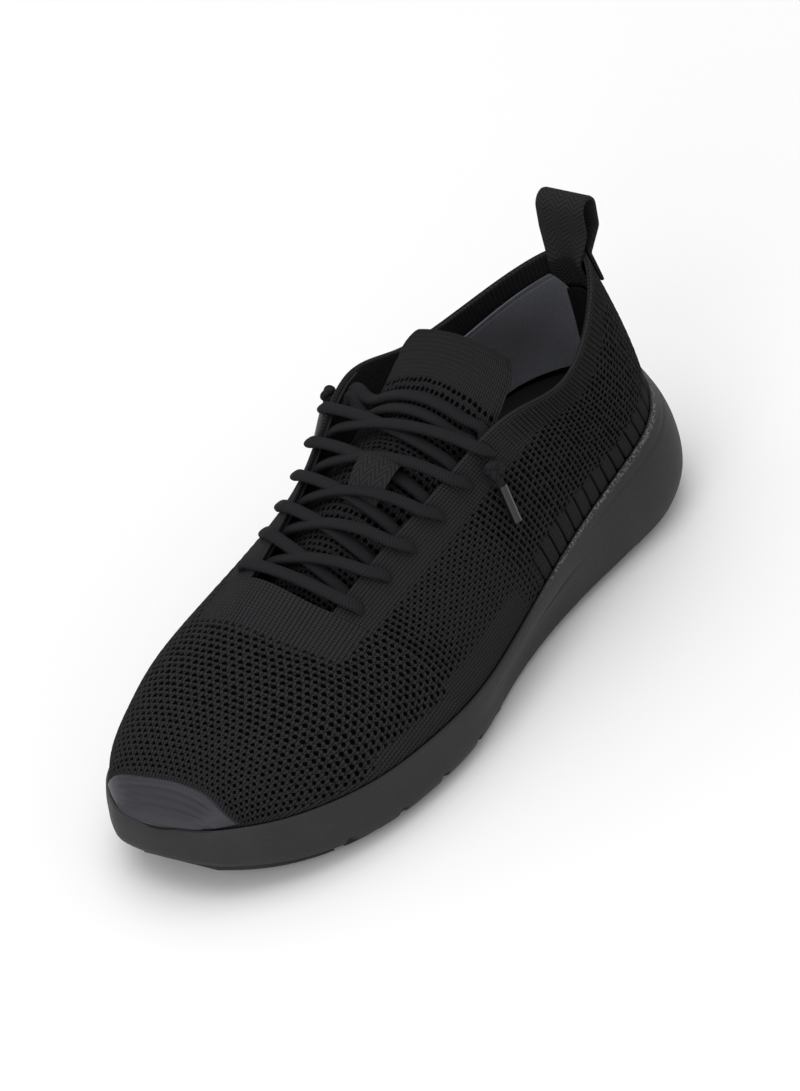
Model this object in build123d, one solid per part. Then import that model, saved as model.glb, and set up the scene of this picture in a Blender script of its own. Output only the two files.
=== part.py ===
from build123d import *
import math
import os
from collections import Counter

import numpy as np

# Left running shoe, in millimetres. +Z is up, the toe points to -Y, the outer (lateral) side is +X.
# The origin is on the ground under the middle of the finished shoe; the tables below are drawn about
# the last's own axis, and PLAN_MIDDLE moves the finished pieces.

# ---------------------------------------------------------------- driving dimensions
PLAN_MIDDLE = (1.57, 1.9)
TREAD_THICKNESS = 2.5
TREAD_CLEARANCE = 0.02
RIM_GAP = 0.45
TOE_SPRING = 10.0
SPRING_START_Y = -75.0
KNIT_THICKNESS = 2.0
LAYER_GAP = 0.2
BACKING_THICKNESS = 0.8
COUNTER_THICKNESS = 1.2
COUNTER_GAP = 0.7
TAPE_GAP = 1.3
LINING_THICKNESS = 0.8
BOARD_THICKNESS = 1.5
FOAM_THICKNESS = 4.5
COVER_THICKNESS = 0.8
TONGUE_THICKNESS = 2.4
LACE_DIAMETER = 4.0
EYELET_DIAMETER = 5.0
AGLET_DIAMETER = 3.6
AGLET_LENGTH = 14.0
TAB_WIDTH = 19.0
TAB_THICKNESS = 1.6
BUMPER_THICKNESS = 2.0

# Stations run from the toe (0) to the heel centre line (1); the throat starts at THROAT.
STATIONS = (0.0, 0.08, 0.16, 0.26, 0.34, 0.46, 0.58, 0.68, 0.78, 0.89, 1.0)
THROAT = 0.34

# Plan view of the feather line, where the knit leaves the rim of the sole (x, y).
FEATHER_LATERAL = ((14, -136), (31, -121), (43, -98.5), (49.7, -70), (51.5, -42), (48.5, -8),
                   (43, 28), (39.5, 58), (37.5, 88), (30, 119), (0, 140))
FEATHER_MEDIAL = ((-23, -136), (-38, -119), (-45.5, -96), (-48, -70), (-46.5, -42), (-41, -8),
                  (-35, 28), (-32, 58), (-31, 88), (-26, 119), (0, 140))

# Edge of the vamp centre up to the throat, then of the throat and of the foot opening (x, y, z).
TOPLINE_LATERAL = ((4, -140, 28), (9, -122, 42), (12, -103, 50.5), (15, -80, 57.5), (17.5, -57, 64),
                   (21, -28, 72), (26, 4, 79.5), (31, 36, 86), (32, 66, 80), (22, 103, 81.5),
                   (-2, 134, 88.7))
TOPLINE_MEDIAL = ((-13, -140.5, 28), (-17, -122, 43), (-17, -103, 53), (-16.5, -80, 61),
                  (-16, -55, 69), (-19, -26, 76), (-26, 4, 82.5), (-33.5, 37, 89), (-34, 68, 80),
                  (-26, 104, 80), (-2, 134, 88.7))

# How far each rib bows outwards, low and high on the side.
FULLNESS_LATERAL = ((0, 0), (7, 6), (10, 9), (13, 11), (13, 10), (11, 9), (7, 7), (5, 4), (4, 3), (4, 2),
                    (4, 1.5))
FULLNESS_MEDIAL = ((0, 0), (8, 7), (12, 11), (15, 14), (15, 13), (13, 11), (8, 8), (5, 4), (4, 3), (4, 2),
                   (4, 1.5))

# Height of the sole's rim, and of the floor inside it, along the shoe (y, z).
RIM_HEIGHT = ((-142, 28), (-121, 26), (-98, 24), (-60, 22.5), (-30, 22.5), (0, 24.5), (28, 28),
              (58, 32), (88, 35.5), (119, 39.5), (142, 41))
FLOOR_HEIGHT = ((-142, 20), (-98, 16), (-50, 15), (0, 17.5), (50, 22.5), (100, 27), (142, 28.5))

# The sole's side: how far it stands out from the feather line at five levels of its height,
# from the ground edge (0) to the rim (1), at seven stations.
SIDE_STATIONS = (0.0, 0.2, 0.34, 0.5, 0.7, 0.86, 1.0)
SIDE_LEVELS = (0.0, 0.2, 0.5, 0.75, 1.0)
SIDE_OUT = ((-2.0, -1.0, -1.0, -4.0, -0.5, 2.5, 0.0),
            (1.5, 1.6, 1.2, -3.0, 1.2, 6.5, 6.0),
            (2.6, 2.1, 1.7, -1.6, 2.6, 7.5, 8.0),
            (2.4, 2.0, 1.7, 1.3, 2.4, 5.5, 6.0),
            (1.6, 1.6, 1.6, 1.6, 1.6, 1.6, 1.6))

# Tongue: centre line (x, y, z), half width and crown at six stations.
TONGUE_CENTRE = (
    (0, -72, 54.5), (0.5, -50, 65.5), (1, -28, 73.5), (1.5, 4, 82), (3, 24, 88), (8, 50, 105.5))
TONGUE_HALF_WIDTH = (18, 23, 27, 28.5, 24.5, 22)
TONGUE_CROWN = (13, 18, 20.5, 19, 13.5, 5)
TONGUE_LEAN = -0.1
TONGUE_FOLD = 0.87
TONGUE_FOLD_GAP = 0.012
TONGUE_FOLD_RELIEF = 0.07

# Lacing: station and height up the side of each pair of eyelets, from the toe end, then of the
# last eyelet on each side, which the knotted lace end comes out of.
EYELETS = ((0.357, 0.88), (0.42, 0.88), (0.478, 0.88), (0.54, 0.88), (0.592, 0.88), (0.636, 0.9))
LAST_EYELET = {1: (0.618, 0.84), -1: (0.658, 0.88)}
LACE_LIFT = LACE_DIAMETER / 2 + 0.6
LACE_TUCK = 5.2
KEEPER_ALONG = (0.485, 0.615)
KEEPER_CENTRE = 0.1
KEEPER_HALF_WIDTH = 0.18
KEEPER_ARCH = 9.4
KEEPER_THICKNESS = 1.0

# Where the lace ends are knotted, and where their tips hang.
KNOT_STAND_OFF = 4.2
TIP_LATERAL = (42.2, 18.8, 57.5)
TIP_MEDIAL = (-43.0, 28.0, 65.0)
KNOT_RADIUS = 3.6
SHEATH_START = 3.8

# Pull tab loop at the heel; it turns about the line where it is stitched down.
TAB_CENTRE_X = -4.0
TAB_FOLD = (136.0, 89.4)
TAB_LOOP_BOTTOM = 93.0
TAB_LOOP_TOP = 107.5
TAB_LOOP_DEPTH = 10.0

FOREFOOT_GROOVES_Y = (-100.0, -78.0, -56.0, -34.0)
GROOVE_WIDTH = 4.0
GROOVE_DEPTH = 3.0


# ---------------------------------------------------------------- form of the shoe
def smooth_curve(keys, values, x):
    """Natural cubic spline through (keys, values), read at x; values may have several columns."""
    keys = np.asarray(keys, float)
    values = np.asarray(values, float)
    columns = values.reshape(len(keys), -1)
    gaps = np.diff(keys)
    system = np.eye(len(keys))
    right = np.zeros_like(columns)
    for i in range(1, len(keys) - 1):
        system[i, i - 1:i + 2] = gaps[i - 1], 2 * (gaps[i - 1] + gaps[i]), gaps[i]
        rise_after = (columns[i + 1] - columns[i]) / gaps[i]
        rise_before = (columns[i] - columns[i - 1]) / gaps[i - 1]
        right[i] = 6 * (rise_after - rise_before)
    bend = np.linalg.solve(system, right)
    x = np.asarray(x, float)
    i = np.clip(np.searchsorted(keys, x) - 1, 0, len(keys) - 2)
    gap = gaps[i][..., None]
    a = (keys[i + 1][..., None] - x[..., None]) / gap
    b = 1 - a
    y = a * columns[i] + b * columns[i + 1]
    y = y + ((a ** 3 - a) * bend[i] + (b ** 3 - b) * bend[i + 1]) * gap ** 2 / 6
    return y.reshape(x.shape + values.shape[1:])


def rim_height(y):
    return smooth_curve([p[0] for p in RIM_HEIGHT], [p[1] for p in RIM_HEIGHT], y)


def floor_height(y):
    return smooth_curve([p[0] for p in FLOOR_HEIGHT], [p[1] for p in FLOOR_HEIGHT], y)


def across_heel(own, other):
    """A side's table, carried on round the heel with the other side's last keys."""
    return np.array(own + other[-2:-4:-1], float)


def side_table(side, lateral, medial, station):
    keys = STATIONS + (2 - STATIONS[-2], 2 - STATIONS[-3])
    table = across_heel(lateral, medial) if side > 0 else across_heel(medial, lateral)
    return smooth_curve(keys, table, station)


def unit(v):
    return v / (np.linalg.norm(v, axis=-1, keepdims=True) + 1e-12)


def feather(side, station):
    """Point where the knit leaves the rim, at a station; side is +1 lateral, -1 medial."""
    plan = side_table(side, FEATHER_LATERAL, FEATHER_MEDIAL, station)
    return np.concatenate([plan, rim_height(plan[..., 1])[..., None]], -1)


def topline(side, station):
    return side_table(side, TOPLINE_LATERAL, TOPLINE_MEDIAL, station)


def outward(side, station):
    """Horizontal direction away from the foot at the feather line; both sides share one at the heel."""
    step = 0.004
    turned = []
    for s in (side, -side):
        along = feather(s, station + step) - feather(s, np.maximum(station - step, 0.0))
        turned.append(unit(np.stack([along[..., 1], -along[..., 0], 0 * along[..., 0]], -1) * s))
    return unit(np.where((station > 0.999)[..., None], turned[0] + turned[1], turned[0]))


def side_skin(side, station, height):
    """Outer face of a side: a cubic rib from the feather line (0) to the topline (1)."""
    station, height = np.broadcast_arrays(np.asarray(station, float), np.asarray(height, float))
    low = feather(side, station)
    top = topline(side, station)
    out = outward(side, station)
    chord = top - low
    inward_run = -(chord * out).sum(-1)
    bow = out * chord[..., 2:]
    bow[..., 2] += inward_run
    bow = unit(bow)
    fullness = side_table(side, FULLNESS_LATERAL, FULLNESS_MEDIAL, station)
    handle_low = low + chord / 3 + bow * fullness[..., :1]
    handle_high = low + chord * 2 / 3 + bow * fullness[..., 1:]
    t = height[..., None]
    start_part = low * (1 - t) ** 3 + 3 * handle_low * t * (1 - t) ** 2
    return start_part + 3 * handle_high * t * t * (1 - t) + top * t ** 3


def side_normal(side, station, height):
    station, height = np.broadcast_arrays(np.asarray(station, float), np.asarray(height, float))
    step = 0.004
    along = side_skin(side, station + step, height)
    along = along - side_skin(side, np.maximum(station - step, 0), height)
    up = side_skin(side, station, np.minimum(height + step, 1))
    up = up - side_skin(side, station, np.maximum(height - step, 0))
    normal = unit(np.cross(along, up) * side)
    at_heel = unit(np.stack([0 * up[..., 0], up[..., 2], -up[..., 1]], -1))
    return np.where((station > 0.999)[..., None], at_heel, normal)


def side_layer(side, station, height, depth):
    """The side's face moved inwards by depth (outwards when depth is negative)."""
    depth = np.asarray(depth, float)[..., None]
    return side_skin(side, station, height) - side_normal(side, station, height) * depth


def vamp_layer(station, across, depth):
    """Top of the toe box between the two toplines (across 0 lateral, 1 medial), moved inwards."""
    station, across = np.broadcast_arrays(np.asarray(station, float), np.asarray(across, float))
    one = np.ones_like(station)
    ends = [side_skin(side, station, one) for side in (1, -1)]
    slopes = [unit(e - side_skin(side, station, 0.97 * one)) for e, side in zip(ends, (1, -1))]
    reach = 0.36 * np.linalg.norm(ends[1] - ends[0], axis=-1, keepdims=True)
    t = across[..., None]
    point = ends[0] * (1 - t) ** 3 + 3 * (ends[0] + slopes[0] * reach) * t * (1 - t) ** 2
    point = point + 3 * (ends[1] + slopes[1] * reach) * t * t * (1 - t) + ends[1] * t ** 3
    rise = np.array([0.0, 0.0, 2.0]) * t * (1 - t)
    normal = unit(side_normal(1, station, one) * (1 - t) + side_normal(-1, station, one) * t + rise)
    return point - normal * depth


def tongue_layer(along, across, depth):
    """Top face of the tongue: along 0 base to 1 tip, across -1 medial to 1 lateral."""
    along, across = np.broadcast_arrays(np.asarray(along, float), np.asarray(across, float))
    keys = np.linspace(0, 1, len(TONGUE_CENTRE))
    centre = smooth_curve(keys, TONGUE_CENTRE, along)
    half = smooth_curve(keys, TONGUE_HALF_WIDTH, along)
    crown = smooth_curve(keys, TONGUE_CROWN, along)
    shape = np.stack([across * half, 0 * across, TONGUE_LEAN * across * half - crown * across ** 2], -1)
    after = smooth_curve(keys, TONGUE_CENTRE, along + 0.01)
    slope = after - smooth_curve(keys, TONGUE_CENTRE, along - 0.01)
    side = np.stack([half, 0 * half, TONGUE_LEAN * half - 2 * crown * across], -1)
    return centre + shape - unit(np.cross(side, slope)) * np.asarray(depth, float)[..., None]


# ---------------------------------------------------------------- solids from skins
def skin_solid(patches):
    """One closed solid from (outer grid, inner grid) pairs that share their edges."""
    index = {}
    outer_points = []
    inner_points = []

    def number(outer, inner):
        key = tuple(np.round(outer, 4))
        if key not in index:
            index[key] = len(outer_points)
            outer_points.append(outer)
            inner_points.append(inner)
        return index[key]

    triangles = []
    for outer, inner in patches:
        rows, columns = outer.shape[:2]
        ids = np.array([[number(outer[i, j], inner[i, j]) for j in range(columns)] for i in range(rows)])
        corners = zip(ids[:-1, :-1].flat, ids[1:, :-1].flat, ids[1:, 1:].flat, ids[:-1, 1:].flat)
        for a, b, c, d in corners:
            triangles += [t for t in ((a, b, c), (a, c, d)) if len(set(t)) == 3]
    edges = Counter(tuple(sorted((t[k], t[(k + 1) % 3]))) for t in triangles for k in range(3))
    rims = [edge for edge, uses in edges.items() if uses == 1]
    corners = [[outer_points[k] for k in t] for t in triangles]
    corners += [[inner_points[k] for k in t] for t in triangles]
    for a, b in rims:
        corners.append([outer_points[a], outer_points[b], inner_points[b]])
        corners.append([outer_points[a], inner_points[b], inner_points[a]])
    faces = [Face(Wire.make_polygon([Vector(*p) for p in c], close=True)) for c in corners]
    return Solid(Shell(faces))


def side_patch(side, stations, heights, depth, thickness):
    s, h = np.meshgrid(stations, heights, indexing="ij")
    return side_layer(side, s, h, depth), side_layer(side, s, h, depth + thickness)


def vamp_patch(stations, across, depth, thickness):
    s, t = np.meshgrid(stations, across, indexing="ij")
    return vamp_layer(s, t, depth), vamp_layer(s, t, depth + thickness)


def tongue_patch(along, across, depth, thickness):
    a, t = np.meshgrid(along, across, indexing="ij")
    return tongue_layer(a, t, depth), tongue_layer(a, t, depth + thickness)


def side_view_edges(height, y_start, y_end):
    """A boundary seen from the side: a spline, with a straight run behind the toe spring if it is flat."""
    curved = np.linspace(y_start, SPRING_START_Y, 9)
    rest = np.linspace(SPRING_START_Y, y_end, 17)
    toe = [(0.0, float(y), float(z)) for y, z in zip(curved, height(curved))]
    back = [(0.0, float(y), float(z)) for y, z in zip(rest, height(rest))]
    if np.ptp(height(rest)) < 1e-9:
        return [Spline(*toe).edge(), Line(back[0], back[-1]).edge()]
    return [Spline(*toe, *back[1:]).edge()]


def side_view_band(low, high, y_start=-160.0, y_end=160.0):
    """Everything between two heights that vary along the shoe, right across its width."""
    bottom = side_view_edges(low, y_start, y_end)
    top = side_view_edges(high, y_start, y_end)
    front = Line(top[0] @ 0, bottom[0] @ 0).edge()
    back = Line(bottom[-1] @ 1, top[-1] @ 1).edge()
    return extrude(Face(Wire(bottom + [back] + top + [front])), amount=90, dir=(1, 0, 0), both=True)


# ---------------------------------------------------------------- plan outline of the sole
OUTLINE_STATIONS = np.linspace(0.02, 0.98, 17)


def plan_outline():
    """Closed plan outline of the feather line, with its outward directions and stations."""
    lateral = feather(1, OUTLINE_STATIONS)[:, :2]
    medial = feather(-1, OUTLINE_STATIONS[::-1])[:, :2]
    toe = np.array([TOPLINE_MEDIAL[0][:2], TOPLINE_LATERAL[0][:2]], float)
    points = np.concatenate([lateral, [FEATHER_LATERAL[-1]], medial, toe])
    stations = np.concatenate([OUTLINE_STATIONS, [1.0], OUTLINE_STATIONS[::-1], [0.0, 0.0]])
    along = np.roll(points, -1, 0) - np.roll(points, 1, 0)
    return points, unit(np.stack([along[:, 1], -along[:, 0]], -1)), stations


def closed_outline(points, z):
    return Wire([Spline(*[(float(x), float(y), z) for x, y in points], periodic=True).edge()])


def outline_prism(inset, bottom=-5.0, top=60.0):
    points, out, _ = plan_outline()
    return extrude(Face(closed_outline(points - out * inset, bottom)), amount=top - bottom, dir=(0, 0, 1))


def sole_section(z):
    points, out, stations = plan_outline()
    level = np.clip(z / rim_height(points[:, 1]), 0, 1)
    by_level = np.stack([smooth_curve(SIDE_STATIONS, row, stations) for row in SIDE_OUT])
    stand_out = np.array([np.interp(v, SIDE_LEVELS, by_level[:, k]) for k, v in enumerate(level)])
    return closed_outline(points + out * stand_out[:, None], z)


def ground_height(y):
    """Toe spring: the sole curves up from the ground towards the toe."""
    run = np.clip((SPRING_START_Y - y) / (142.0 + SPRING_START_Y), 0, 1.3)
    return TOE_SPRING * run ** 2


def sole_block():
    levels = (0.0, 4.0, 9.0, 15.0, 22.0, 30.0, 45.0)
    return Solid.make_loft([sole_section(z) for z in levels])


# ---------------------------------------------------------------- pieces
def make_midsole():
    body = sole_block() & side_view_band(lambda y: ground_height(y) + TREAD_THICKNESS, rim_height)
    body -= outline_prism(-RIM_GAP) & side_view_band(floor_height, lambda y: y * 0 + 60.0)
    for y in FOREFOOT_GROOVES_Y:
        height = float(ground_height(np.array(y))) + TREAD_THICKNESS + GROOVE_DEPTH
        body -= Pos(0, y, height / 2 - 5) * Box(140, GROOVE_WIDTH, height + 10)
    return body


def make_tread(bands):
    """Rubber pads under the sole, one for each band (y from, y to)."""
    layer = side_view_band(ground_height, lambda y: ground_height(y) + TREAD_THICKNESS - TREAD_CLEARANCE)
    layer = layer & outline_prism(5.0, -5.0, 30.0)
    return Compound([
        solid for low, high in bands
        for solid in (layer & Pos(0, (low + high) / 2, 10) * Box(140, high - low, 60)).solids()])


def forefoot_bands():
    edges = (-134.0,) + FOREFOOT_GROOVES_Y + (-8.0,)
    gap = GROOVE_WIDTH / 2
    return [(a + gap, b - gap) for a, b in zip(edges[:-1], edges[1:])]


def make_floor_layer(inset, offset, thickness):
    layer = side_view_band(
        lambda y: floor_height(y) + offset, lambda y: floor_height(y) + offset + thickness)
    return outline_prism(inset) & layer


def make_knit_upper():
    quarter = np.concatenate([np.linspace(0, THROAT, 9), np.linspace(THROAT, 1, 19)[1:]])
    vamp = quarter[:9]
    heights = np.linspace(0, 1, 9)
    patches = [side_patch(side, quarter, heights, 0, KNIT_THICKNESS) for side in (1, -1)]
    patches.append(vamp_patch(vamp, np.linspace(0, 1, 7), 0, KNIT_THICKNESS))
    for side in (1, -1):
        top = side_layer(side, quarter, np.zeros_like(quarter), 0)
        inner_top = side_layer(side, quarter, np.zeros_like(quarter), KNIT_THICKNESS)
        foot = top.copy()
        foot[:, 2] = floor_height(foot[:, 1]) + 0.3
        foot[:, :2] -= outward(side, quarter)[:, :2] * 0.8
        inner_foot = foot.copy()
        inner_foot[:, :2] -= outward(side, quarter)[:, :2] * KNIT_THICKNESS
        patches.append((np.stack([foot, top], 1), np.stack([inner_foot, inner_top], 1)))
    return with_eyelets(skin_solid(patches), (1, -1))


def with_eyelets(skin, sides):
    for side in sides:
        for station, height in EYELETS + (LAST_EYELET[side],):
            centre = side_skin(side, station, height)
            normal = side_normal(side, station, height)
            plane = Plane(origin=Vector(*centre), z_dir=Vector(*normal))
            skin -= plane * Cylinder(EYELET_DIAMETER / 2, 12)
    return skin


def make_eyestay_backing(side):
    stations = np.linspace(THROAT - 0.005, 0.69, 16)
    heights = np.linspace(0.68, 0.985, 5)
    patch = side_patch(side, stations, heights, KNIT_THICKNESS + LAYER_GAP, BACKING_THICKNESS)
    return with_eyelets(skin_solid([patch]), (side,))


def make_toe_puff():
    stations = np.linspace(0.02, 0.15, 5)
    depth = KNIT_THICKNESS + 2.5 * LAYER_GAP
    heights = np.linspace(0.1, 1, 7)
    sides = [side_patch(side, stations, heights, depth, BACKING_THICKNESS) for side in (1, -1)]
    return skin_solid(sides + [vamp_patch(stations, np.linspace(0, 1, 7), depth, BACKING_THICKNESS)])


def make_toe_bumper():
    """Rubber guard over the toe: full height across the middle, tapering down to the rim."""
    rows = []
    across = np.concatenate([
        np.linspace(0.25, 1, 7), 1 + np.linspace(0, 1, 6)[1:], 2 + np.linspace(0, 0.75, 7)[1:]])
    for rise in np.linspace(0.0, 1.0, 4):
        taper = np.clip(np.minimum(across - 0.15, 2.85 - across) / 0.7, 0.05, 1.0)
        station = 0.004 + rise * 0.072 * taper
        outer = toe_band(station, across, -BUMPER_THICKNESS - LAYER_GAP)
        inner = toe_band(station, across, -LAYER_GAP)
        rows.append((outer, inner))
    return skin_solid([(np.stack([r[0] for r in rows]), np.stack([r[1] for r in rows]))])


def toe_band(station, across, depth):
    """Points round the toe: across 0 to 1 lateral side, 1 to 2 vamp, 2 to 3 medial side."""
    lateral = side_layer(1, station, np.clip(across, 0, 1), depth)
    middle = vamp_layer(station, np.clip(across - 1, 0, 1), depth)
    medial = side_layer(-1, station, np.clip(3 - across, 0, 1), depth)
    which = across[:, None]
    return np.where(which < 1, lateral, np.where(which <= 2, middle, medial))


def make_heel_counter():
    stations = np.linspace(0.76, 1, 10)
    heights = np.linspace(0.06, 0.55, 6)
    depth = KNIT_THICKNESS + COUNTER_GAP
    return skin_solid([side_patch(side, stations, heights, depth, COUNTER_THICKNESS) for side in (1, -1)])


def make_heel_lining(side):
    """Soft lining inside the heel, with a corner that rises towards the back."""
    stations = np.linspace(0.66, 0.93, 10)
    depth = KNIT_THICKNESS + COUNTER_GAP + COUNTER_THICKNESS + 2 * LAYER_GAP
    rows = []
    for share in np.linspace(0, 1, 6):
        top = 0.5 + 0.4 * ((stations - 0.66) / 0.27) ** 1.2
        height = 0.08 + share * (top - 0.08)
        rows.append((side_layer(side, stations, height, depth),
                     side_layer(side, stations, height, depth + LINING_THICKNESS)))
    return skin_solid([(np.stack([r[0] for r in rows], 1), np.stack([r[1] for r in rows], 1))])


def make_heel_tape():
    stations = np.linspace(0.975, 1, 3)
    depth = KNIT_THICKNESS + COUNTER_GAP + COUNTER_THICKNESS + TAPE_GAP
    heights = np.linspace(0.08, 0.66, 7)
    return skin_solid([side_patch(side, stations, heights, depth, BACKING_THICKNESS) for side in (1, -1)])


def make_tongue():
    along = np.linspace(0, TONGUE_FOLD - TONGUE_FOLD_GAP, 16)
    return skin_solid([tongue_patch(along, np.linspace(-1, 1, 11), 0, TONGUE_THICKNESS)])


def make_tongue_flap():
    """Free end of the tongue, with rounded corners."""
    share, t = np.meshgrid(np.linspace(0, 1, 6), np.linspace(-1, 1, 11), indexing="ij")
    start = TONGUE_FOLD + TONGUE_FOLD_GAP + TONGUE_FOLD_RELIEF * t ** 2
    a = start + (1 - start) * share
    corner = np.clip((a - 0.94) / 0.06, 0, 1) ** 2 * 0.18
    t = t * (1 - corner)
    return skin_solid([(tongue_layer(a, t, 0), tongue_layer(a, t, TONGUE_THICKNESS))])


def make_lace_keeper():
    """Woven strap along the middle of the tongue; the crossing lace runs pass under it."""
    along, across = np.meshgrid(np.linspace(*KEEPER_ALONG, 11), np.linspace(-1, 1, 3), indexing="ij")
    middle = sum(KEEPER_ALONG) / 2
    reach = (along - middle) / (KEEPER_ALONG[1] - middle)
    arch = KEEPER_ARCH * (1 - reach ** 4) + 0.15
    across = KEEPER_CENTRE + KEEPER_HALF_WIDTH * across
    outside = tongue_layer(along, across, -arch - KEEPER_THICKNESS)
    return skin_solid([(outside, tongue_layer(along, across, -arch))])


# ---------------------------------------------------------------- lacing
def tongue_along(y):
    """Share of the tongue's length at which its centre line reaches y."""
    keys = np.linspace(0, 1, len(TONGUE_CENTRE))
    fine = np.linspace(0, 1, 101)
    return float(np.interp(y, smooth_curve(keys, TONGUE_CENTRE, fine)[:, 1], fine))


def at_hole(side, row, depth):
    station, height = EYELETS[row] if row < len(EYELETS) else LAST_EYELET[side]
    return side_layer(side, station, height, depth)


def at_edge(side, station, depth):
    return side_layer(side, station, 0.985, depth)


def over_tongue(x, y, lift):
    along = tongue_along(y)
    keys = np.linspace(0, 1, len(TONGUE_CENTRE))
    centre = smooth_curve(keys, TONGUE_CENTRE, along)[0]
    half = smooth_curve(keys, TONGUE_HALF_WIDTH, along)
    return tongue_layer(along, (x - centre) / half, -lift)


def hop(side, row):
    """From under eyelet (side, row), out over the tongue and down to the next eyelet opposite."""
    lift = LACE_DIAMETER / 2 + (LACE_DIAMETER + 0.6 if side < 0 else 0.3)
    start = EYELETS[row][0]
    end = EYELETS[row + 1][0]
    leave = at_edge(side, start + 0.3 * (end - start), LACE_TUCK)
    land = at_edge(-side, end - 0.15 * (end - start), -LACE_LIFT)
    middle = (leave + land) / 2
    return [at_hole(side, row, LACE_TUCK), leave,
            over_tongue(middle[0], middle[1], lift),
            land, at_hole(-side, row + 1, -LACE_LIFT)]


def top_run(side):
    """Last run: from under the sixth eyelet across the tongue and up through the seventh opposite."""
    y = 31.0 if side > 0 else 25.5
    first = at_edge(side, 0.662, LACE_TUCK + 0.4)
    last = at_edge(-side, 0.67 if side > 0 else 0.64, LACE_TUCK + 0.4)
    lift = LACE_DIAMETER / 2 + 0.3
    return [at_hole(side, 5, LACE_TUCK), first,
            over_tongue(side * 13.0, y - 0.6, lift),
            over_tongue(side * -11.0, y, lift + 0.4),
            last, at_hole(-side, 6, LACE_TUCK), at_hole(-side, 6, -1.6)]


def lace_route():
    half = {}
    for side in (1, -1):
        points = [at_hole(side, 0, -LACE_LIFT)]
        for row in range(5):
            points += hop(side * (-1) ** row, row)
        half[side] = points + top_run(side * (-1) ** 5)
    bar = [
        side_layer(side, EYELETS[0][0], height, -LACE_LIFT - 0.6)
        for side, height in ((1, 0.99), (-1, 0.97))]
    middle = [(bar[0] + bar[1]) / 2 + np.array([0.0, 0.0, 3.0])]
    return half[1][::-1] + bar[:1] + middle + bar[1:] + half[-1]


def corner_radii(route):
    """Each arc as large as its two runs allow."""
    radii = []
    for before, corner, after in zip(route, route[1:], route[2:]):
        first = Vector(*(corner - before))
        second = Vector(*(after - corner))
        turn = math.radians(first.get_angle(second))
        radii.append(0.45 * min(first.length, second.length) / math.tan(turn / 2))
    return radii


def tube(route, diameter):
    radii = corner_radii(route)
    path = FilletPolyline(*[Vector(*p) for p in route], radius=radii)
    start = Plane(origin=path @ 0, z_dir=path % 0)
    solid = sweep(start * Circle(diameter / 2), path=path)
    expected = math.pi * diameter ** 2 / 4 * path.length
    print("tube length", round(path.length, 1), "volume share", round(solid.volume / expected, 4),
          "smallest radius", round(min(radii), 2))
    return solid


def between(start, end, distance):
    start = np.array(start)
    return start + unit(np.array(end) - start) * distance


def knot_centre(side):
    return tuple(float(v) for v in at_hole(side, 6, -KNOT_STAND_OFF))


def make_lace():
    return tube(lace_route(), LACE_DIAMETER)


def make_knot(centre):
    return Pos(*centre) * Sphere(KNOT_RADIUS)


def rod(start, end, diameter):
    start = Vector(*start)
    along = Vector(*end) - start
    return Plane(origin=start, z_dir=along) * Cylinder(
        diameter / 2, along.length, align=(Align.CENTER, Align.CENTER, Align.MIN))


def make_aglet(knot, tip):
    length = float(np.linalg.norm(np.array(tip) - np.array(knot)))
    return rod(between(knot, tip, length - AGLET_LENGTH), tip, AGLET_DIAMETER)


def make_tail(knot, tip):
    length = float(np.linalg.norm(np.array(tip) - np.array(knot)))
    sheath_end = between(knot, tip, length - AGLET_LENGTH - 0.05)
    return rod(between(knot, tip, SHEATH_START), sheath_end, AGLET_DIAMETER - 0.4)


# ---------------------------------------------------------------- pull tab
def make_pull_tab():
    """Open loop of webbing: two legs that join in a round top."""
    y, z = TAB_FOLD
    half = TAB_LOOP_DEPTH / 2
    shape = Pos(y, (TAB_LOOP_BOTTOM + TAB_LOOP_TOP - half) / 2) * Rectangle(
        2 * half, TAB_LOOP_TOP - half - TAB_LOOP_BOTTOM)
    shape += Pos(y, TAB_LOOP_TOP - half) * Circle(half)
    hole = half - TAB_THICKNESS
    shape -= Pos(y, (TAB_LOOP_BOTTOM - 2 + TAB_LOOP_TOP - half) / 2) * Rectangle(
        2 * hole, TAB_LOOP_TOP - half - TAB_LOOP_BOTTOM + 2)
    shape -= Pos(y, TAB_LOOP_TOP - half) * Circle(hole)
    plane = Plane(origin=(TAB_CENTRE_X, 0, 0), x_dir=(0, 1, 0), z_dir=(1, 0, 0))
    return extrude(plane * shape, amount=TAB_WIDTH / 2, both=True)


def make_tab_anchor():
    """The two ends of the webbing, stitched down outside and inside the heel."""
    heights = np.linspace(0.7, 0.95, 5)
    pieces = []
    for depth in (-TAB_THICKNESS - 0.3, KNIT_THICKNESS + 1.4):
        rows = []
        for share in np.linspace(-1, 1, 9):
            side = 1 if share >= 0 else -1
            station = 1 - 0.026 * abs(share) * np.ones_like(heights)
            rows.append((side_layer(side, station, heights, depth),
                         side_layer(side, station, heights, depth + TAB_THICKNESS)))
        pieces.append(skin_solid([(np.stack([r[0] for r in rows]), np.stack([r[1] for r in rows]))]))
    return Compound(pieces)


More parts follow.
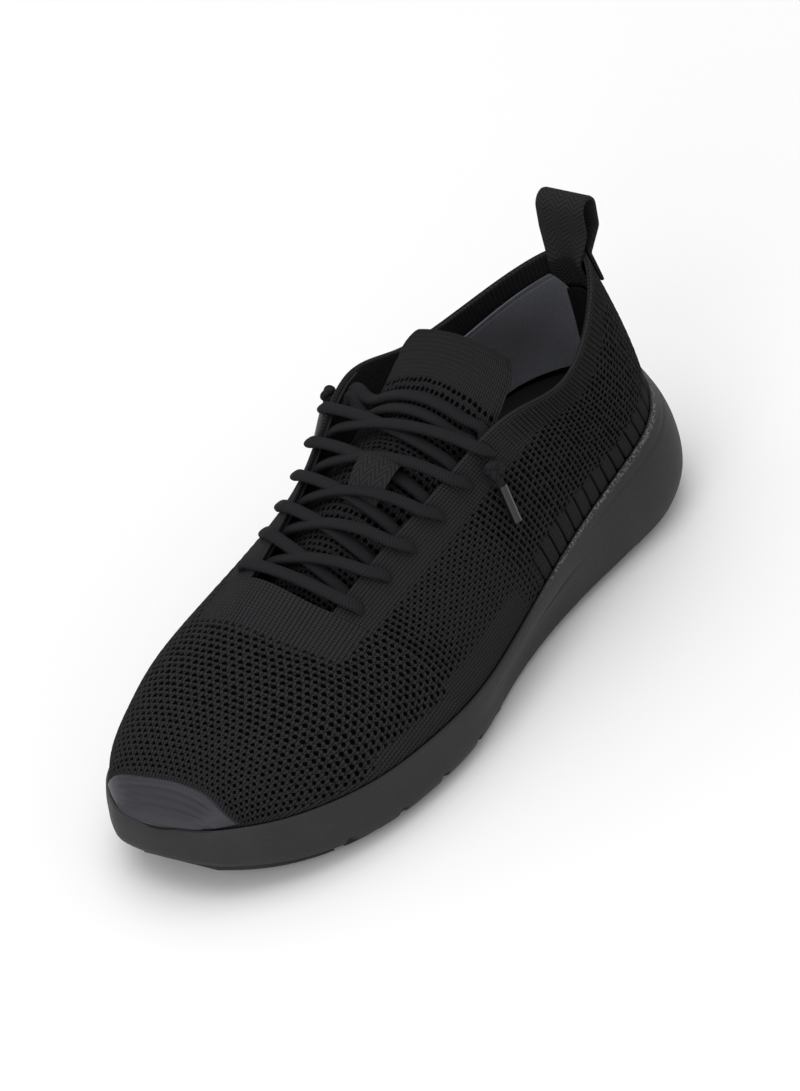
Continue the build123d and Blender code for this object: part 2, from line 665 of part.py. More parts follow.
def build():
    return {
        "midsole": make_midsole(),
        "toe_bumper": make_toe_bumper(),
        "forefoot_tread": make_tread(forefoot_bands()),
        "heel_tread": make_tread([(52, 84), (87, 112), (115, 137)]),
        "strobel_board": make_floor_layer(3.6, 0.05, BOARD_THICKNESS),
        "insole_foam": make_floor_layer(4.2, BOARD_THICKNESS + 0.1, FOAM_THICKNESS),
        "insole_cover": make_floor_layer(4.2, BOARD_THICKNESS + FOAM_THICKNESS + 0.15, COVER_THICKNESS),
        "knit_upper": make_knit_upper(),
        "toe_puff": make_toe_puff(),
        "heel_counter": make_heel_counter(),
        "heel_lining_lateral": make_heel_lining(1),
        "heel_lining_medial": make_heel_lining(-1),
        "heel_tape": make_heel_tape(),
        "eyestay_backing_lateral": make_eyestay_backing(1),
        "eyestay_backing_medial": make_eyestay_backing(-1),
        "tongue": make_tongue(),
        "tongue_flap": make_tongue_flap(),
        "lace_keeper": make_lace_keeper(),
        "lace": make_lace(),
        "lace_knot_lateral": make_knot(knot_centre(1)),
        "lace_knot_medial": make_knot(knot_centre(-1)),
        "lace_tail_lateral": make_tail(knot_centre(1), TIP_LATERAL),
        "lace_tail_medial": make_tail(knot_centre(-1), TIP_MEDIAL),
        "aglet_lateral": make_aglet(knot_centre(1), TIP_LATERAL),
        "aglet_medial": make_aglet(knot_centre(-1), TIP_MEDIAL),
        "pull_tab": make_pull_tab(),
        "pull_tab_anchor": make_tab_anchor(),
    }


for name, shape in build().items():
    export_step(Pos(-PLAN_MIDDLE[0], -PLAN_MIDDLE[1], 0) * shape, f"parts/{name}.step")
    print(name, round(shape.volume, 1), len(shape.solids()), shape.is_valid)

for side in (1, -1):
    print("knot", [round(v, 2) for v in knot_centre(side)])
print("fold", [round(float(v), 2) for v in tongue_layer(TONGUE_FOLD, 0.0, TONGUE_THICKNESS / 2)])
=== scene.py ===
import math

import bmesh
import bpy
import numpy as np
from mathutils import Matrix, Vector


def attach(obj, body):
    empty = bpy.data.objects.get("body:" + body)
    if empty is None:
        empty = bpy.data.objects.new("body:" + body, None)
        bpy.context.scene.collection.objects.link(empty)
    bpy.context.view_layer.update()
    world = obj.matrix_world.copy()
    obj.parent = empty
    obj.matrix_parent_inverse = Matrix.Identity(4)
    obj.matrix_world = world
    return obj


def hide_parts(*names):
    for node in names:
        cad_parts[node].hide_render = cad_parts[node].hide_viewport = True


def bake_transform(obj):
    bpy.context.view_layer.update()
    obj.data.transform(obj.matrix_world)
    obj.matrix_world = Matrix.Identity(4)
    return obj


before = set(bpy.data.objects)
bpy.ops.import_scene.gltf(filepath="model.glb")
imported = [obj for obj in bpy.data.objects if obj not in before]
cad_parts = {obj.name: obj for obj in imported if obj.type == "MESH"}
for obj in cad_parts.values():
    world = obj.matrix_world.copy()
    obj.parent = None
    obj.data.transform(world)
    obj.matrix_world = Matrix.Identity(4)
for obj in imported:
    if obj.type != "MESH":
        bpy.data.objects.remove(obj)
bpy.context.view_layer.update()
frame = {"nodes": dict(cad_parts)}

bl_info = {
    "name": "Knit running shoe",
    "version": (1, 0, 0),
    "blender": (4, 5, 0),
    "location": "View3D > Sidebar > Shoe",
    "description": "Builds the visible pieces of a knit running shoe round its packed frame",
    "category": "Add Mesh",
}

MM = 0.001
PLAN_MIDDLE = (1.57, 1.9)

# ---------------------------------------------------------------- form of the shoe, in millimetres
# Stations run from the toe (0) to the heel centre line (1); the throat starts at THROAT.
STATIONS = (0.0, 0.08, 0.16, 0.26, 0.34, 0.46, 0.58, 0.68, 0.78, 0.89, 1.0)
THROAT = 0.34

# Plan view of the feather line, where the knit leaves the rim of the sole (x, y).
FEATHER_LATERAL = ((14, -136), (31, -121), (43, -98.5), (49.7, -70), (51.5, -42), (48.5, -8),
                   (43, 28), (39.5, 58), (37.5, 88), (30, 119), (0, 140))
FEATHER_MEDIAL = ((-23, -136), (-38, -119), (-45.5, -96), (-48, -70), (-46.5, -42), (-41, -8),
                  (-35, 28), (-32, 58), (-31, 88), (-26, 119), (0, 140))

# Edge of the vamp centre up to the throat, then of the throat and of the foot opening (x, y, z).
TOPLINE_LATERAL = ((4, -140, 28), (9, -122, 42), (12, -103, 50.5), (15, -80, 57.5), (17.5, -57, 64),
                   (21, -28, 72), (26, 4, 79.5), (31, 36, 86), (32, 66, 80), (22, 103, 81.5),
                   (-2, 134, 88.7))
TOPLINE_MEDIAL = ((-13, -140.5, 28), (-17, -122, 43), (-17, -103, 53), (-16.5, -80, 61),
                  (-16, -55, 69), (-19, -26, 76), (-26, 4, 82.5), (-33.5, 37, 89), (-34, 68, 80),
                  (-26, 104, 80), (-2, 134, 88.7))

# How far each rib bows outwards, low and high on the side.
FULLNESS_LATERAL = ((0, 0), (7, 6), (10, 9), (13, 11), (13, 10), (11, 9), (7, 7), (5, 4), (4, 3), (4, 2),
                    (4, 1.5))
FULLNESS_MEDIAL = ((0, 0), (8, 7), (12, 11), (15, 14), (15, 13), (13, 11), (8, 8), (5, 4), (4, 3), (4, 2),
                   (4, 1.5))

# Height of the sole's rim, and of the floor inside it, along the shoe (y, z).
RIM_HEIGHT = ((-142, 28), (-121, 26), (-98, 24), (-60, 22.5), (-30, 22.5), (0, 24.5), (28, 28),
              (58, 32), (88, 35.5), (119, 39.5), (142, 41))
FLOOR_HEIGHT = ((-142, 20), (-98, 16), (-50, 15), (0, 17.5), (50, 22.5), (100, 27), (142, 28.5))
TREAD_THICKNESS = 2.5
TOE_SPRING = 10.0
SPRING_START_Y = -75.0

# The sole's side: how far it stands out from the feather line at five levels of its height,
# from the ground edge (0) to the rim (1), at seven stations.
SIDE_STATIONS = (0.0, 0.2, 0.34, 0.5, 0.7, 0.86, 1.0)
SIDE_LEVELS = (0.0, 0.2, 0.5, 0.75, 1.0)
SIDE_OUT = ((-2.0, -1.0, -1.0, -4.0, -0.5, 2.5, 0.0),
            (1.5, 1.6, 1.2, -3.0, 1.2, 6.5, 6.0),
            (2.6, 2.1, 1.7, -1.6, 2.6, 7.5, 8.0),
            (2.4, 2.0, 1.7, 1.3, 2.4, 5.5, 6.0),
            (1.6, 1.6, 1.6, 1.6, 1.6, 1.6, 1.6))
FOREFOOT_GROOVES_Y = (-100.0, -78.0, -56.0, -34.0)
GROOVE_WIDTH = 4.0
GROOVE_DEPTH = 3.0

# Tongue: centre line (x, y, z), half width and crown at six stations.
TONGUE_CENTRE = ((0, -72, 54.5), (0.5, -50, 65.5), (1, -28, 73.5), (1.5, 4, 82), (3, 24, 88),
                 (8, 50, 105.5))
TONGUE_HALF_WIDTH = (18, 23, 27, 28.5, 24.5, 22)
TONGUE_CROWN = (13, 18, 20.5, 19, 13.5, 5)
TONGUE_LEAN = -0.1
TONGUE_THICKNESS = 2.4

# Lacing: station and height up the side of each pair of eyelets, from the toe end, then of the
# last eyelet on each side, which the knotted lace end comes out of.
EYELETS = ((0.357, 0.88), (0.42, 0.88), (0.478, 0.88), (0.54, 0.88), (0.592, 0.88), (0.636, 0.9))
LAST_EYELET = {1: (0.618, 0.84), -1: (0.658, 0.88)}
KNOT_STAND_OFF = 4.2
KEEPER_ALONG = (0.485, 0.615)
KEEPER_CENTRE = 0.1
KEEPER_HALF_WIDTH = 0.18

# Lace: half its width and height, and how deep it runs under the knit at an eyelet and at the edge.
LACE_HALF_WIDTH = 2.45
LACE_HALF_HEIGHT = 1.35
LACE_UNDER = 3.7
LACE_UNDER_TOP = 4.4
LACE_TIP = {1: (42.2, 18.8, 57.5), -1: (-43.0, 28.0, 65.0)}

# Knit: wall, and how deep its holes, the collar's ribs and the grooves over the heel are pressed in.
KNIT_THICKNESS = 2.0
HOLE_DEPTH = 0.8
RIB_DEPTH = 0.7
HEEL_GROOVE_DEPTH = 0.8

# Toe film: where it starts and ends across the band round the toe.
BUMPER_ACROSS = (0.06, 2.94)

# Pull tab loop at the heel.
TAB_CENTRE_X = -4.0
TAB_FOLD_Y = 136.0
TAB_WIDTH = 19.0
TAB_HALF_GAP = 4.0
TAB_CROWN_Z = 102.5

# Stage: the camera's azimuth, elevation and roll in degrees, its lens in millimetres, its distance
# and its small move sideways in metres.
CAMERA_ANGLES = (38.5, 33.0, -10.5)
CAMERA_LENS = 392.0
CAMERA_DISTANCE = 4.0
CAMERA_SIDESTEP = 0.0047
FLOOR_HALF_SIZE = 9.0
SURROUND_STRENGTH = 0.74

# Large soft lights, overhead, from the toe side and from the heel: name, place, size, watts.
LIGHTS = (("top_light", (-0.2, -0.2, 2.2), 2.2, 24.0),
          ("front_light", (0.5, -1.9, 0.8), 1.2, 18.0),
          ("rear_light", (-1.2, 1.2, 1.4), 1.4, 4.0))


def smooth_curve(keys, values, x):
    """Natural cubic spline through (keys, values), read at x; values may have several columns."""
    keys = np.asarray(keys, float)
    values = np.asarray(values, float)
    columns = values.reshape(len(keys), -1)
    gaps = np.diff(keys)
    system = np.eye(len(keys))
    right = np.zeros_like(columns)
    for i in range(1, len(keys) - 1):
        system[i, i - 1:i + 2] = gaps[i - 1], 2 * (gaps[i - 1] + gaps[i]), gaps[i]
        rise_after = (columns[i + 1] - columns[i]) / gaps[i]
        rise_before = (columns[i] - columns[i - 1]) / gaps[i - 1]
        right[i] = 6 * (rise_after - rise_before)
    bend = np.linalg.solve(system, right)
    x = np.asarray(x, float)
    i = np.clip(np.searchsorted(keys, x) - 1, 0, len(keys) - 2)
    gap = gaps[i][..., None]
    a = (keys[i + 1][..., None] - x[..., None]) / gap
    b = 1 - a
    y = a * columns[i] + b * columns[i + 1]
    y = y + ((a ** 3 - a) * bend[i] + (b ** 3 - b) * bend[i + 1]) * gap ** 2 / 6
    return y.reshape(x.shape + values.shape[1:])


def rim_height(y):
    """Height of the sole's rim."""
    return smooth_curve([p[0] for p in RIM_HEIGHT], [p[1] for p in RIM_HEIGHT], y)


def floor_height(y):
    """Height of the floor inside the sole."""
    return smooth_curve([p[0] for p in FLOOR_HEIGHT], [p[1] for p in FLOOR_HEIGHT], y)


def ground_height(y):
    """Toe spring: the sole curves up from the ground as the square of the run towards the toe."""
    run = np.clip((SPRING_START_Y - y) / (142.0 + SPRING_START_Y), 0, 1.3)
    return TOE_SPRING * run ** 2


def unit(v):
    """Vectors scaled to length one."""
    return v / (np.linalg.norm(v, axis=-1, keepdims=True) + 1e-12)


def smoothstep(low, high, x):
    """0 below low, 1 above high, 3t^2 - 2t^3 between them."""
    t = np.clip((x - low) / (high - low), 0, 1)
    return t * t * (3 - 2 * t)


def side_table(side, lateral, medial, station):
    """A side's table read at a station, carried on round the heel with the other side's last keys."""
    own, other = (lateral, medial) if side > 0 else (medial, lateral)
    keys = STATIONS + (2 - STATIONS[-2], 2 - STATIONS[-3])
    return smooth_curve(keys, np.array(own + other[-2:-4:-1], float), station)


def feather(side, station):
    """Point where the knit leaves the rim, at a station; side is +1 lateral, -1 medial."""
    plan = side_table(side, FEATHER_LATERAL, FEATHER_MEDIAL, station)
    return np.concatenate([plan, rim_height(plan[..., 1])[..., None]], -1)


def topline(side, station):
    """Point on the upper edge of a side, at a station."""
    return side_table(side, TOPLINE_LATERAL, TOPLINE_MEDIAL, station)


def outward(side, station):
    """Horizontal direction away from the foot at the feather line; both sides share one at the heel."""
    step = 0.004
    turned = []
    for s in (side, -side):
        along = feather(s, station + step) - feather(s, np.maximum(station - step, 0.0))
        turned.append(unit(np.stack([along[..., 1], -along[..., 0], 0 * along[..., 0]], -1) * s))
    share = smoothstep(0.97, 1.0, station)[..., None] / 2
    return unit(turned[0] * (1 - share) + turned[1] * share)


def side_skin(side, station, height):
    """Outer face of a side: a cubic rib from the feather line (0) to the topline (1).

    The rib's two handles lie a third and two thirds along its chord, moved out square to it by the
    fullness. Below 0 the face runs straight down inside the rim.
    """
    station, height = np.broadcast_arrays(np.asarray(station, float), np.asarray(height, float))
    low = feather(side, station)
    top = topline(side, station)
    out = outward(side, station)
    chord = top - low
    inward_run = -(chord * out).sum(-1)
    bow = out * chord[..., 2:]
    bow[..., 2] += inward_run
    bow = unit(bow)
    fullness = side_table(side, FULLNESS_LATERAL, FULLNESS_MEDIAL, station)
    handle_low = low + chord / 3 + bow * fullness[..., :1]
    handle_high = low + chord * 2 / 3 + bow * fullness[..., 1:]
    t = np.maximum(height, 0)[..., None]
    rib = low * (1 - t) ** 3 + 3 * handle_low * t * (1 - t) ** 2
    rib = rib + 3 * handle_high * t * t * (1 - t) + top * t ** 3
    tuck = np.minimum(height, 0)[..., None]
    return rib + tuck * (np.array([0.0, 0.0, 60.0]) + out * 8.0)


def side_normal(side, station, height):
    """Square to the face, from the cross product of its two slopes."""
    station, height = np.broadcast_arrays(np.asarray(station, float), np.asarray(height, float))
    step = 0.004
    along = side_skin(side, station + step, height)
    along = along - side_skin(side, np.maximum(station - step, 0), height)
    up = side_skin(side, station, np.minimum(height + step, 1))
    up = up - side_skin(side, station, height - step)
    normal = unit(np.cross(along, up) * side)
    at_heel = unit(np.stack([0 * up[..., 0], up[..., 2], -up[..., 1]], -1))
    share = smoothstep(0.985, 1.0, station)[..., None]
    return unit(normal * (1 - share) + at_heel * share)


def side_layer(side, station, height, depth):
    """The side's face moved inwards by depth (outwards when depth is negative)."""
    depth = np.asarray(depth, float)[..., None]
    return side_skin(side, station, height) - side_normal(side, station, height) * depth


def vamp_layer(station, across, depth):
    """Top of the toe box between the two toplines (across 0 lateral, 1 medial), moved inwards."""
    station, across = np.broadcast_arrays(np.asarray(station, float), np.asarray(across, float))
    one = np.ones_like(station)
    ends = [side_skin(side, station, one) for side in (1, -1)]
    slopes = [unit(e - side_skin(side, station, 0.97 * one)) for e, side in zip(ends, (1, -1))]
    reach = 0.36 * np.linalg.norm(ends[1] - ends[0], axis=-1, keepdims=True)
    t = across[..., None]
    point = ends[0] * (1 - t) ** 3 + 3 * (ends[0] + slopes[0] * reach) * t * (1 - t) ** 2
    point = point + 3 * (ends[1] + slopes[1] * reach) * t * t * (1 - t) + ends[1] * t ** 3
    rise = np.array([0.0, 0.0, 2.0]) * t * (1 - t)
    normal = unit(side_normal(1, station, one) * (1 - t) + side_normal(-1, station, one) * t + rise)
    return point - normal * np.asarray(depth, float)[..., None]


def toe_band(station, across, depth):
    """Points round the toe: across 0 to 1 lateral side, 1 to 2 vamp, 2 to 3 medial side."""
    station, across = np.broadcast_arrays(np.asarray(station, float), np.asarray(across, float))
    lateral_height = np.minimum(across, 1)
    medial_height = np.minimum(3 - across, 1)
    lateral = side_layer(1, station, lateral_height, depth)
    middle = vamp_layer(station, np.clip(across - 1, 0, 1), depth)
    medial = side_layer(-1, station, medial_height, depth)
    which = across[..., None]
    return np.where(which < 1, lateral, np.where(which <= 2, middle, medial))


def tongue_frame(along):
    """Centre, half width and crown of the tongue, from 0 at its base to 1 at its tip."""
    keys = np.linspace(0, 1, len(TONGUE_CENTRE))
    return [smooth_curve(keys, table, along) for table in (TONGUE_CENTRE, TONGUE_HALF_WIDTH, TONGUE_CROWN)]


def tongue_layer(along, across, depth):
    """Top face of the tongue: along 0 base to 1 tip, across -1 medial to 1 lateral.

    A point stands across times the half width off the centre line, and falls by the crown times
    across squared.
    """
    along, across = np.broadcast_arrays(np.asarray(along, float), np.asarray(across, float))
    centre, half, crown = tongue_frame(along)
    shape = np.stack([across * half, 0 * across, TONGUE_LEAN * across * half - crown * across ** 2], -1)
    slope = tongue_frame(along + 0.01)[0] - tongue_frame(along - 0.01)[0]
    side = np.stack([half, 0 * half, TONGUE_LEAN * half - 2 * crown * across], -1)
    return centre + shape - unit(np.cross(side, slope)) * np.asarray(depth, float)[..., None]


# ---------------------------------------------------------------- meshes
def make_object(name, points, faces, uv=None, attributes=None, sharp=50.0):
    """One mesh object, its points given in millimetres; uv and attributes hold one value per point.

    Points that coincide are merged first, and then every face is turned outward.
    """
    mesh = bpy.data.meshes.new(name)
    mesh.vertices.add(len(points))
    mesh.vertices.foreach_set("co", to_metres(points).ravel())
    faces = [np.asarray(f, int) for f in faces if len(f)]
    corners = np.concatenate([f.ravel() for f in faces])
    sizes = np.concatenate([np.full(len(f), f.shape[1]) for f in faces])
    mesh.loops.add(len(corners))
    mesh.loops.foreach_set("vertex_index", corners)
    mesh.polygons.add(len(sizes))
    mesh.polygons.foreach_set("loop_start", np.concatenate([[0], np.cumsum(sizes)[:-1]]))
    mesh.update(calc_edges=True)
    if uv is not None:
        layer = mesh.uv_layers.new(name="UVMap")
        layer.data.foreach_set("uv", np.asarray(uv, float)[corners].ravel())
    for key, values in (attributes or {}).items():
        layer = mesh.attributes.new(key, "FLOAT", "POINT")
        layer.data.foreach_set("value", np.asarray(values, float))
    mesh.validate()
    work = bmesh.new()
    work.from_mesh(mesh)
    bmesh.ops.remove_doubles(work, verts=work.verts, dist=1e-6)
    bmesh.ops.dissolve_degenerate(work, edges=work.edges, dist=1e-7)
    bmesh.ops.recalc_face_normals(work, faces=work.faces)
    if work.calc_volume(signed=True) < 0:
        bmesh.ops.reverse_faces(work, faces=work.faces)
    work.to_mesh(mesh)
    work.free()
    mesh.polygons.foreach_set("use_smooth", np.ones(len(mesh.polygons), bool))
    mesh.set_sharp_from_angle(angle=math.radians(sharp))
    made = bpy.data.objects.new(name, mesh)
    bpy.context.scene.collection.objects.link(made)
    return made


def grid_faces(ids):
    """Quads between neighbouring rows and columns of a grid of point numbers."""
    return np.stack([ids[:-1, :-1], ids[1:, :-1], ids[1:, 1:], ids[:-1, 1:]], -1).reshape(-1, 4)


def border(ids):
    """The point numbers round a grid's edge, once round."""
    return np.concatenate([ids[:-1, 0], ids[-1, :-1], ids[:0:-1, -1], ids[0, :0:-1]])


def shell_object(name, outer, inner, uv=None, attributes=None, step=1, sharp=50.0):
    """Closed skin: a fine outer grid, a coarser inner grid (every step-th point) and a rim between them."""
    rows, columns = outer.shape[:2]
    fine = np.arange(rows * columns).reshape(rows, columns)
    coarse_points = inner[::step, ::step]
    coarse = rows * columns + np.arange(coarse_points.shape[0] * coarse_points.shape[1])
    coarse = coarse.reshape(coarse_points.shape[:2])
    ring = border(fine)
    back = border(coarse)
    nearest = ((np.arange(len(ring)) + step // 2) // step) % len(back)
    after = np.roll(nearest, -1)
    follow = np.roll(ring, -1)
    same = nearest == after
    triangles = np.stack([ring[same], back[nearest[same]], follow[same]], -1)
    quads = np.stack([ring[~same], back[nearest[~same]], back[after[~same]], follow[~same]], -1)
    faces = [grid_faces(fine), grid_faces(coarse)[:, ::-1], triangles, quads]
    points = np.concatenate([outer.reshape(-1, 3), coarse_points.reshape(-1, 3)])
    if uv is not None:
        uv = np.concatenate([uv.reshape(-1, 2), uv[::step, ::step].reshape(-1, 2)])
    filled = {}
    for key, values in (attributes or {}).items():
        filled[key] = np.concatenate([values.ravel(), np.zeros(coarse.size)])
    return make_object(name, points, faces, uv, filled, sharp)


def spline_path(points, samples):
    """Quadratic B-spline of the points, which touches the middle of every run; ends at the end points."""
    points = np.asarray(points, float)
    points = np.concatenate([[2 * points[0] - points[1]], points, [2 * points[-1] - points[-2]]])
    t = np.linspace(0, 1, samples, endpoint=False)[None, :, None]
    a, b, c = points[:-2, None], points[1:-1, None], points[2:, None]
    curve = 0.5 * (1 - t) ** 2 * a + (0.5 + t - t * t) * b + 0.5 * t * t * c
    return np.concatenate([curve.reshape(-1, points.shape[1]), [(points[-2] + points[-1]) / 2]])


def even_path(path, spacing):
    """The path's points moved to an even spacing along it (extra columns are carried along)."""
    run = np.concatenate([[0], np.cumsum(np.linalg.norm(np.diff(path[:, :3], axis=0), axis=1))])
    count = max(int(run[-1] / spacing), 8)
    even = np.linspace(0, run[-1], count)
    return np.stack([np.interp(even, run, column) for column in path.T], -1)


def swept(name, path, normals, half_width, half_height, around, power=2.0):
    """A rounded section carried along a path: at angle a it stands cos(a) of the half width sideways
    and sin(a) of the half height along the normal, each raised to 2/power; the ends close on a point.
    """
    along = unit(np.gradient(path, axis=0))
    normals = unit(normals - along * (normals * along).sum(-1, keepdims=True))
    sideways = np.cross(along, normals)
    angle = np.linspace(0, 2 * np.pi, around, endpoint=False)
    c = np.sign(np.cos(angle)) * np.abs(np.cos(angle)) ** (2 / power)
    s = np.sign(np.sin(angle)) * np.abs(np.sin(angle)) ** (2 / power)
    points = path[:, None] + sideways[:, None] * c[None, :, None] * half_width
    points = points + normals[:, None] * s[None, :, None] * half_height
    rows = len(path)
    ids = np.arange(rows * around).reshape(rows, around)
    ids = np.concatenate([ids, ids[:, :1]], 1)
    run = np.concatenate([[0], np.cumsum(np.linalg.norm(np.diff(path, axis=0), axis=1))])
    uv = np.stack(np.broadcast_arrays(run[:, None], angle[None] / (2 * np.pi)), -1).reshape(-1, 2)
    tips = np.array([path[0] - along[0] * 0.3, path[-1] + along[-1] * 0.3])
    points = np.concatenate([points.reshape(-1, 3), tips])
    uv = np.concatenate([uv, [[0, 0.5], [run[-1], 0.5]]])
    first, last = rows * around, rows * around + 1
    start = np.stack([np.full(around, first), ids[0, :-1], ids[0, 1:]], -1)
    end = np.stack([np.full(around, last), ids[-1, 1:], ids[-1, :-1]], -1)
    return make_object(name, points, [grid_faces(ids), start, end], uv)


# ---------------------------------------------------------------- materials
class Value:
    """A shader socket whose operators add Math nodes, so that formulas read as written."""

    def __init__(self, shader, socket):
        self.shader = shader
        self.socket = socket

    def math(self, operation, *others):
        return self.shader.node("ShaderNodeMath", {"operation": operation}, [self, *others])

    def __add__(self, other):
        return self.math("ADD", other)

    __radd__ = __add__

    def __sub__(self, other):
        return self.math("SUBTRACT", other)

    def __rsub__(self, other):
        return self.math("MULTIPLY", -1.0).math("ADD", other)

    def __mul__(self, other):
        return self.math("MULTIPLY", other)

    __rmul__ = __mul__

    def __pow__(self, other):
        return self.math("POWER", other)

    def sin(self):
        return self.math("SINE")

    def abs(self):
        return self.math("ABSOLUTE")

    def fract(self):
        return self.math("FRACT")

    def smooth(self, low, high):
        """0 below low, 1 above high, smooth between."""
        options = {"interpolation_type": "SMOOTHSTEP"}
        inputs = {"Value": self, "From Min": low, "From Max": high}
        return self.shader.node("ShaderNodeMapRange", options, inputs)


class Shader:
    """A material's node tree, with one method that adds any node."""

    def __init__(self, name):
        self.material = bpy.data.materials.new(name)
        self.material.use_nodes = True
        self.tree = self.material.node_tree
        self.principled = self.tree.nodes["Principled BSDF"]

    def node(self, kind, options=None, inputs=None, output=0):
        made = self.tree.nodes.new(kind)
        for key, value in (options or {}).items():
            setattr(made, key, value)
        pairs = inputs.items() if isinstance(inputs, dict) else enumerate(inputs or [])
        for key, value in pairs:
            self.feed(made.inputs[key], value)
        return Value(self, made.outputs[output])

    def feed(self, socket, value):
        if isinstance(value, Value):
            self.tree.links.new(value.socket, socket)
        else:
            socket.default_value = value

    def mix(self, factor, a, b):
        options = {"data_type": "RGBA"}
        return self.node("ShaderNodeMix", options, {0: factor, 6: colour(a), 7: colour(b)}, output=2)

    def uv(self):
        """The piece's own UV as two values."""
        u = self.node("ShaderNodeSeparateXYZ", inputs=[self.node("ShaderNodeTexCoord", output=2)])
        return u, Value(self, u.socket.node.outputs[1])

    def attribute(self, name):
        return self.node("ShaderNodeAttribute", {"attribute_name": name}, output=2)

    def noise(self, scale, detail, stretch=None):
        """Noise over the piece's Object coordinates, drawn out by stretch."""
        point = self.node("ShaderNodeTexCoord", output=3)
        if stretch:
            point = self.node("ShaderNodeMapping", inputs={"Vector": point, "Scale": stretch})
        return self.node("ShaderNodeTexNoise", inputs={"Vector": point, "Scale": scale, "Detail": detail})

    def bump(self, height, distance):
        """Surface normal from a height, its distance in metres."""
        inputs = {"Height": height, "Distance": distance, "Strength": 1.0}
        return self.node("ShaderNodeBump", inputs=inputs)

    def finish(self, base, roughness=0.8, normal=None, **fixed):
        self.feed(self.principled.inputs["Base Color"], colour(base))
        self.feed(self.principled.inputs["Roughness"], roughness)
        if normal is not None:
            self.feed(self.principled.inputs["Normal"], normal)
        for key, value in fixed.items():
            label = key.replace("_", " ").title().replace("Ior", "IOR")
            self.principled.inputs[label].default_value = value
        return self.material


def colour(value):
    """Socket, or a grey or (r, g, b) in linear light as four numbers."""
    if isinstance(value, Value):
        return value
    if isinstance(value, (int, float)):
        value = (value, value, value)
    return (*value[:3], 1.0)


def settings():
    """The finish settings of the scene."""
    return bpy.context.scene.shoe


def shade(base, factor):
    """A tone made darker or lighter by a factor."""
    return tuple(c * factor for c in base[:3])


def stitch_height(wale, course):
    """Knit face: each wale is a pair of slanted strands, so its height is a ridge across the wale times
    a wave along it whose phase leans with the distance from the wale's middle.
    """
    across = wale.fract() * 2.0 - 1.0
    slant = across.abs() * 0.5
    wave = ((course + slant) * (2 * math.pi)).sin() * 0.5 + 0.5
    ridge = 1.0 - across.abs() ** 3.0
    groove = (across.abs() * 2.0).smooth(0.0, 0.5)
    return ridge * (wave * 0.55 + 0.45) * (groove * 0.35 + 0.65)


def knit_material(name):
    """Dark yarn, two wales to a cell and two courses to a row: UV counts cells across and rows along.

    One attribute is 1 in the open holes and in the grooves of the sides, which are painted nearly black as
    shade, and dense is 1 where the knit is closed; the stitch height also paints shade in the stitch grooves
    and highlight on their ridges.
    """
    shader = Shader(name)
    u, v = shader.uv()
    recess_shade = shader.attribute("recess_shade")
    dense = shader.attribute("dense")
    height = stitch_height(u * 2.0, v * 2.0)
    fuzz = shader.noise(2500.0, 3.0)
    tone = settings().knit_colour
    # Painted shade and highlight: by the stitch height the yarn is darkened in the stitch grooves and
    # lightened on the ridges; the fuzz adds random tone.
    ridge = (height * 0.8 + fuzz * 0.35).smooth(0.15, 0.85)
    body = shader.mix(ridge, shade(tone, 0.15), shade(tone, 2.5))
    closed = shader.mix(ridge, shade(tone, 0.35), shade(tone, 2.5))
    base = shader.mix(dense, body, closed)
    # Painted shade: the yarn is darkened nearly to black in the holes and in the sides' grooves that the
    # first attribute marks.
    base = shader.mix(recess_shade.smooth(0.15, 0.7), base, shade(tone, 0.03))
    normal = shader.bump(height * 0.8 + fuzz * 0.3, 0.0006)
    return shader.finish(base, 0.9, normal, specular_ior_level=0.05)


def foam_material(name, tone, grain=1400.0, roughness=0.62):
    """Moulded foam skin: fine pebble grain, faint mottling."""
    shader = Shader(name)
    grain_height = shader.noise(grain, 3.0)
    cloud = shader.noise(60.0, 3.0)
    speck = shader.noise(1900.0, 1.0).smooth(0.66, 0.76)
    base = shader.mix(cloud, shade(tone, 0.8), shade(tone, 1.2))
    base = shader.mix(speck * 0.35, base, shade(tone, 3.0))
    lint = shader.noise(1300.0, 2.0).smooth(0.44, 0.6)
    base = shader.mix(shader.attribute("glue") * lint, base, (0.13, 0.13, 0.135))
    normal = shader.bump(grain_height, 0.00016)
    return shader.finish(base, grain_height * 0.2 + (roughness - 0.1), normal, specular_ior_level=0.22)


def woven_material(name, tone):
    """Tight braid seen on laces: fine slanted strands, in V shapes that meet on the middle line."""
    shader = Shader(name)
    u, v = shader.uv()
    across = (v * 2.0).fract() * 2.0 - 1.0
    strand = ((u * 0.95 + across.abs()) * (2 * math.pi)).sin() * 0.5 + 0.5
    ply = ((v * 22.0) * (2 * math.pi)).sin() * 0.5 + 0.5
    fuzz = shader.noise(3000.0, 2.0)
    height = strand * 0.5 + ply * 0.35 + fuzz * 0.35
    # Painted shade and highlight: the braid is darker between its strands and lighter on them, by the same
    # height as its bumps; the fuzz adds random tone.
    base = shader.mix(height, shade(tone, 0.55), shade(tone, 1.5))
    return shader.finish(base, 0.85, shader.bump(height, 0.00013), specular_ior_level=0.08)


def herringbone_material(name, tone):
    """Webbing: diagonal ribs that change direction every column, across the tape."""
    shader = Shader(name)
    u, v = shader.uv()
    column = (v * 3.0).fract() * 2.0 - 1.0
    rib = ((u * 0.62 + column.abs() * 1.6) * (2 * math.pi)).sin() * 0.5 + 0.5
    thread = (u * (2 * math.pi * 3.0)).sin() * 0.5 + 0.5
    fuzz = shader.noise(2600.0, 2.0)
    height = rib * 0.7 + thread * 0.12 + fuzz * 0.25
    # Painted shade and highlight: the webbing is darker in the grooves between its ribs and lighter on them,
    # by the same height as its bumps; the fuzz adds random tone.
    base = shader.mix(height, shade(tone, 0.6), shade(tone, 1.6))
    return shader.finish(base, 0.85, shader.bump(height, 0.0003), specular_ior_level=0.08)


